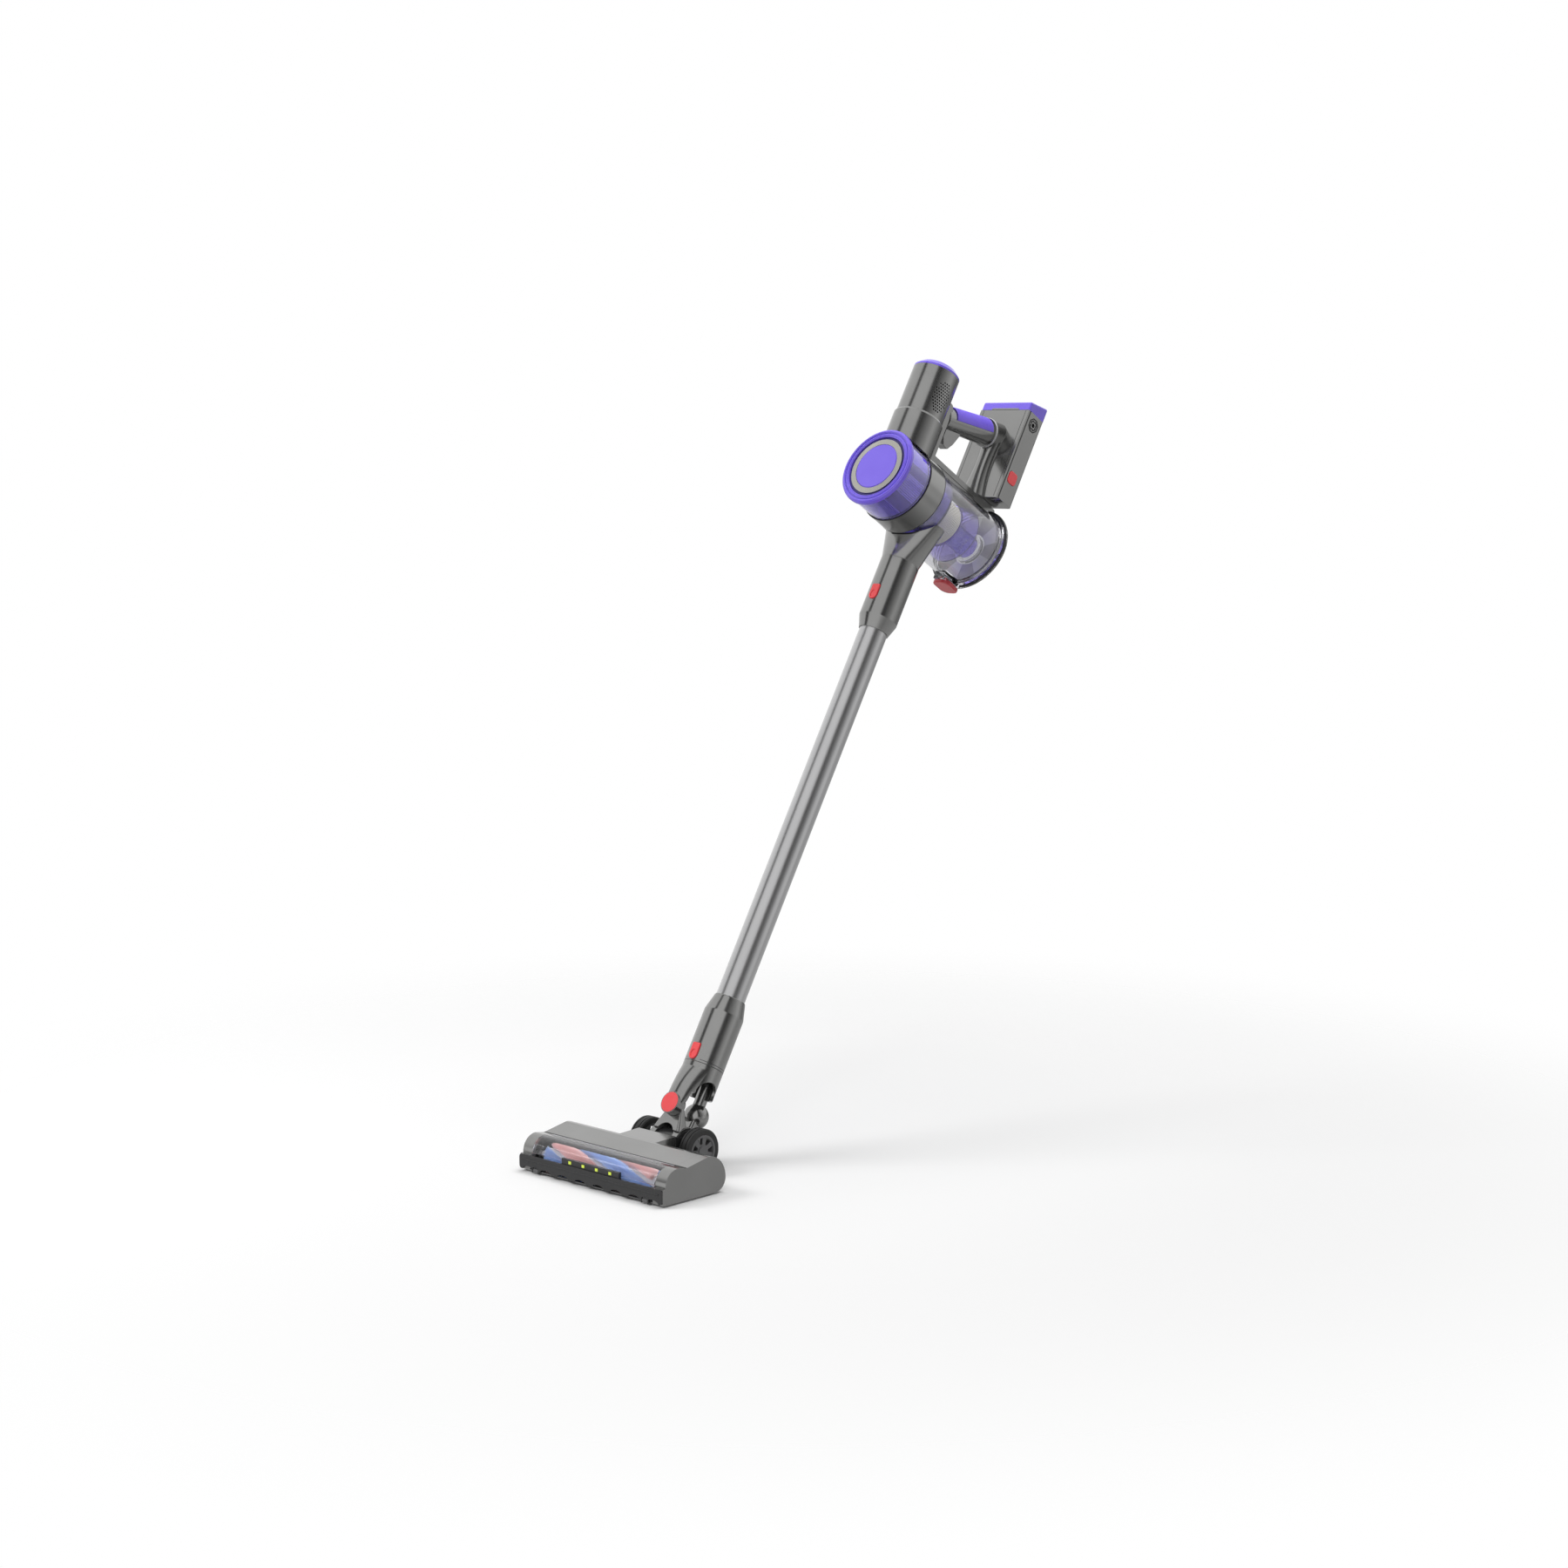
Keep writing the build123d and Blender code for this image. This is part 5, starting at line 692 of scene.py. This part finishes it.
for name, bar in headBars.items():
    rings = [[headPoint(x, y, z) for y, z in bar["outline"]] for x in (bar["half"], -bar["half"])]
    addPiece(name, skin(rings), bar["finish"], "floor_head")
print("head trim made")

# Coupling: two fine dark rings where the sleeve meets the yoke, open in front for the release button
sleeveRings = {"stations": (96.2, 99.2), "radii": (23.4, 24.05), "halfWidth": 0.3, "turns": (-64.0, 244.0),
               "steps": 90}
bands = []
for station in sleeveRings["stations"]:
    span = (station - sleeveRings["halfWidth"], station + sleeveRings["halfWidth"])
    bands.append(arcBand(sleeveRings["radii"], span, sleeveRings["turns"], sleeveRings["steps"], tubePoint))
addPiece("sleeveRings", joined(bands), finishes["dark_plastic"], "coupling")
print("coupling rings made")

# Stage, in metres: pale floor that fades into a white background, soft lamps and the photograph's camera
room = {"colour": "#ffffff", "seen": 1.0, "light": 0.36}
studioFloor = {"colour": "#fbfbfb", "fadeStart": 0.5, "fadeEnd": 1.3, "place": (0, -0.05, -0.0005)}
# A wall that only mirrors see: pale panels with dark gaps, which draw the long bands on the rounded parts.
# Its brightness goes by compass bearing in degrees, near the floor and higher up, and by height below the
# horizon. turnHigh and turnLow are the sines of the heights where one gives way to the next.
studioWall = {
    "radius": 6.0, "levels": 24, "sides": 96, "topTilt": 89, "place": (0, 0, 0.5),
    "turnHigh": (0.02, 0.17), "turnLow": (-0.12, -0.3),
    "low": ((-180, 1.0), (-120, 1.0), (-60, 1.0), (-30, 0.6), (-5, 0.3), (26, 0.85), (47, 0.72), (83, 0.2),
            (110, 0.28), (127, 0.28), (140, 1.0), (179, 1.0)),
    "high": ((-180, 1.0), (-139, 1.0), (-131, 0.05), (-117, 0.05), (-109, 1.0), (-33, 1.0), (-26, 0.06),
             (-12, 0.04), (5, 0.28), (26, 0.6), (40, 0.85), (60, 1.0), (179, 1.0)),
    "below": ((-90, 0.08), (-60, 0.3), (-30, 0.62), (-18, 0.5), (-5, 0.55)),
}
lampAim = Vector((0, 0, 0.45))
lamps = {
    "keySoftbox": {"place": (-1.7, -2.0, 2.3), "size": 1.5, "watts": 40},
    "frontSoftbox": {"place": (1.6, -2.4, 2.2), "size": 1.0, "watts": 9},
    "topSoftbox": {"place": (0.1, 0.5, 3.0), "size": 1.8, "watts": 42},
}
photoCamera = {"focalMm": 63.89, "sensorMm": 36.0, "reach": 20.0, "place": (2.243558, -2.419447, 0.833404),
               "dip": 7.129, "bearing": 43.604}


def stageObject(name, shape, material, place):
    verts, faces = shape
    mesh = bpy.data.meshes.new(name)
    mesh.from_pydata([tuple(v) for v in verts], [], faces)
    mesh.materials.append(material)
    thing = bpy.data.objects.new(name, mesh)
    scene.collection.objects.link(thing)
    thing.location = place
    return thing


def lightRoom():
    # full white where it is seen or mirrored, and dimmer as a light
    world = bpy.data.worlds.new("studioRoom")
    scene.world = world
    world.use_nodes = True
    tree = world.node_tree
    tree.nodes.clear()
    path = addNode(tree, "ShaderNodeLightPath", {}, {})
    seen = path.outputs["Is Camera Ray"]
    for ray in ("Is Glossy Ray", "Is Transmission Ray"):
        seen = addNode(tree, "ShaderNodeMath", {"operation": "MAXIMUM"}, {
            0: seen, 1: path.outputs[ray]}).outputs["Value"]
    level = addNode(tree, "ShaderNodeMapRange", {}, {
        "Value": seen, "To Min": room["light"], "To Max": room["seen"]})
    glow = addNode(tree, "ShaderNodeBackground", {}, {
        "Color": linear(room["colour"]), "Strength": level.outputs["Result"]})
    addNode(tree, "ShaderNodeOutputWorld", {}, {"Surface": glow.outputs["Background"]})


def layFloor():
    material = blankMaterial("paleStudioFloor")
    tree = material.node_tree
    place = addNode(tree, "ShaderNodeTexCoord", {}, {}).outputs["Object"]
    reach = addNode(tree, "ShaderNodeVectorMath", {"operation": "LENGTH"}, {0: place})
    fade = addNode(tree, "ShaderNodeMapRange", {"interpolation_type": "SMOOTHSTEP"}, {
        "Value": reach.outputs["Value"],
        "From Min": studioFloor["fadeStart"], "From Max": studioFloor["fadeEnd"]})
    paint = addNode(tree, "ShaderNodeBsdfDiffuse", {}, {"Color": linear(studioFloor["colour"])})
    clear = addNode(tree, "ShaderNodeBsdfTransparent", {}, {})
    mix = addNode(tree, "ShaderNodeMixShader", {}, {
        0: fade.outputs["Result"], 1: paint.outputs["BSDF"], 2: clear.outputs["BSDF"]})
    addNode(tree, "ShaderNodeOutputMaterial", {}, {"Surface": mix.outputs["Shader"]})
    size = studioFloor["fadeEnd"]
    corners = [(-size, -size, 0), (size, -size, 0), (size, size, 0), (-size, size, 0)]
    floor = stageObject("studioFloor", (corners, [(0, 1, 2, 3)]), material, studioFloor["place"])
    floor.visible_glossy = False


def raiseWall():
    material = blankMaterial("studioWallPanels")
    tree = material.node_tree
    place = addNode(tree, "ShaderNodeTexCoord", {}, {}).outputs["Object"]
    aim = addNode(tree, "ShaderNodeVectorMath", {"operation": "NORMALIZE"}, {0: place})
    split = addNode(tree, "ShaderNodeSeparateXYZ", {}, {"Vector": aim.outputs["Vector"]})
    bearing = addNode(tree, "ShaderNodeMath", {"operation": "ARCTAN2"}, {
        0: split.outputs["Y"], 1: split.outputs["X"]})
    height = addNode(tree, "ShaderNodeMath", {"operation": "ARCSINE"}, {0: split.outputs["Z"]})
    tones = {}
    for name, angle in (("low", bearing), ("high", bearing), ("below", height)):
        share = addNode(tree, "ShaderNodeMapRange", {}, {
            "Value": angle.outputs["Value"], "From Min": -math.pi, "From Max": math.pi})
        tone = addNode(tree, "ShaderNodeValToRGB", {}, {"Fac": share.outputs["Result"]})
        for degrees, level in studioWall[name]:
            tone.color_ramp.elements.new((degrees + 180) / 360).color = (level, level, level, 1)
        # the two stops that every ramp starts with
        tone.color_ramp.elements.remove(tone.color_ramp.elements[-1])
        tone.color_ramp.elements.remove(tone.color_ramp.elements[0])
        tones[name] = tone.outputs["Color"]
    panels = tones["low"]
    for name, edge in (("high", "turnHigh"), ("below", "turnLow")):
        start, end = studioWall[edge]
        turnOver = addNode(tree, "ShaderNodeMapRange", {"interpolation_type": "SMOOTHSTEP"}, {
            "Value": split.outputs["Z"], "From Min": start, "From Max": end})
        panels = addNode(tree, "ShaderNodeMix", {"data_type": "RGBA"}, {
            "Factor": turnOver.outputs["Result"], 6: panels, 7: tones[name]}).outputs[2]
    glow = addNode(tree, "ShaderNodeEmission", {}, {"Color": panels})
    addNode(tree, "ShaderNodeOutputMaterial", {}, {"Surface": glow.outputs["Emission"]})
    turns = [2 * math.pi * side / studioWall["sides"] for side in range(studioWall["sides"])]
    rings = []
    for level in range(studioWall["levels"] + 1):
        tilt = math.radians(studioWall["topTilt"] * (2 * level / studioWall["levels"] - 1))
        reach, rise = studioWall["radius"] * math.cos(tilt), studioWall["radius"] * math.sin(tilt)
        rings.append([(reach * math.cos(turn), reach * math.sin(turn), rise) for turn in turns])
    wall = stageObject("studioWall", skin(rings), material, studioWall["place"])
    wall.visible_camera = False
    wall.visible_diffuse = False
    wall.visible_transmission = False
    wall.visible_shadow = False


def hangLamps():
    for name, lamp in lamps.items():
        light = bpy.data.lights.new(name, "AREA")
        light.size = lamp["size"]
        light.energy = lamp["watts"]
        holder = bpy.data.objects.new(name, light)
        scene.collection.objects.link(holder)
        holder.location = lamp["place"]
        holder.rotation_euler = (lampAim - Vector(lamp["place"])).to_track_quat("-Z", "Y").to_euler()
        holder.visible_glossy = False  # the wall panels stand for the lamps in mirrors


def placeCamera():
    lens = bpy.data.cameras.new("photoCamera")
    lens.lens = photoCamera["focalMm"]
    lens.sensor_width = photoCamera["sensorMm"]
    lens.clip_end = photoCamera["reach"]
    camera = bpy.data.objects.new("photoCamera", lens)
    scene.collection.objects.link(camera)
    camera.location = photoCamera["place"]
    camera.rotation_euler = (math.radians(90 - photoCamera["dip"]), 0, math.radians(photoCamera["bearing"]))
    scene.camera = camera


lightRoom()
layFloor()
raiseWall()
hangLamps()
placeCamera()
scene.view_settings.view_transform = "Standard"
print("stage, lamps and camera set")
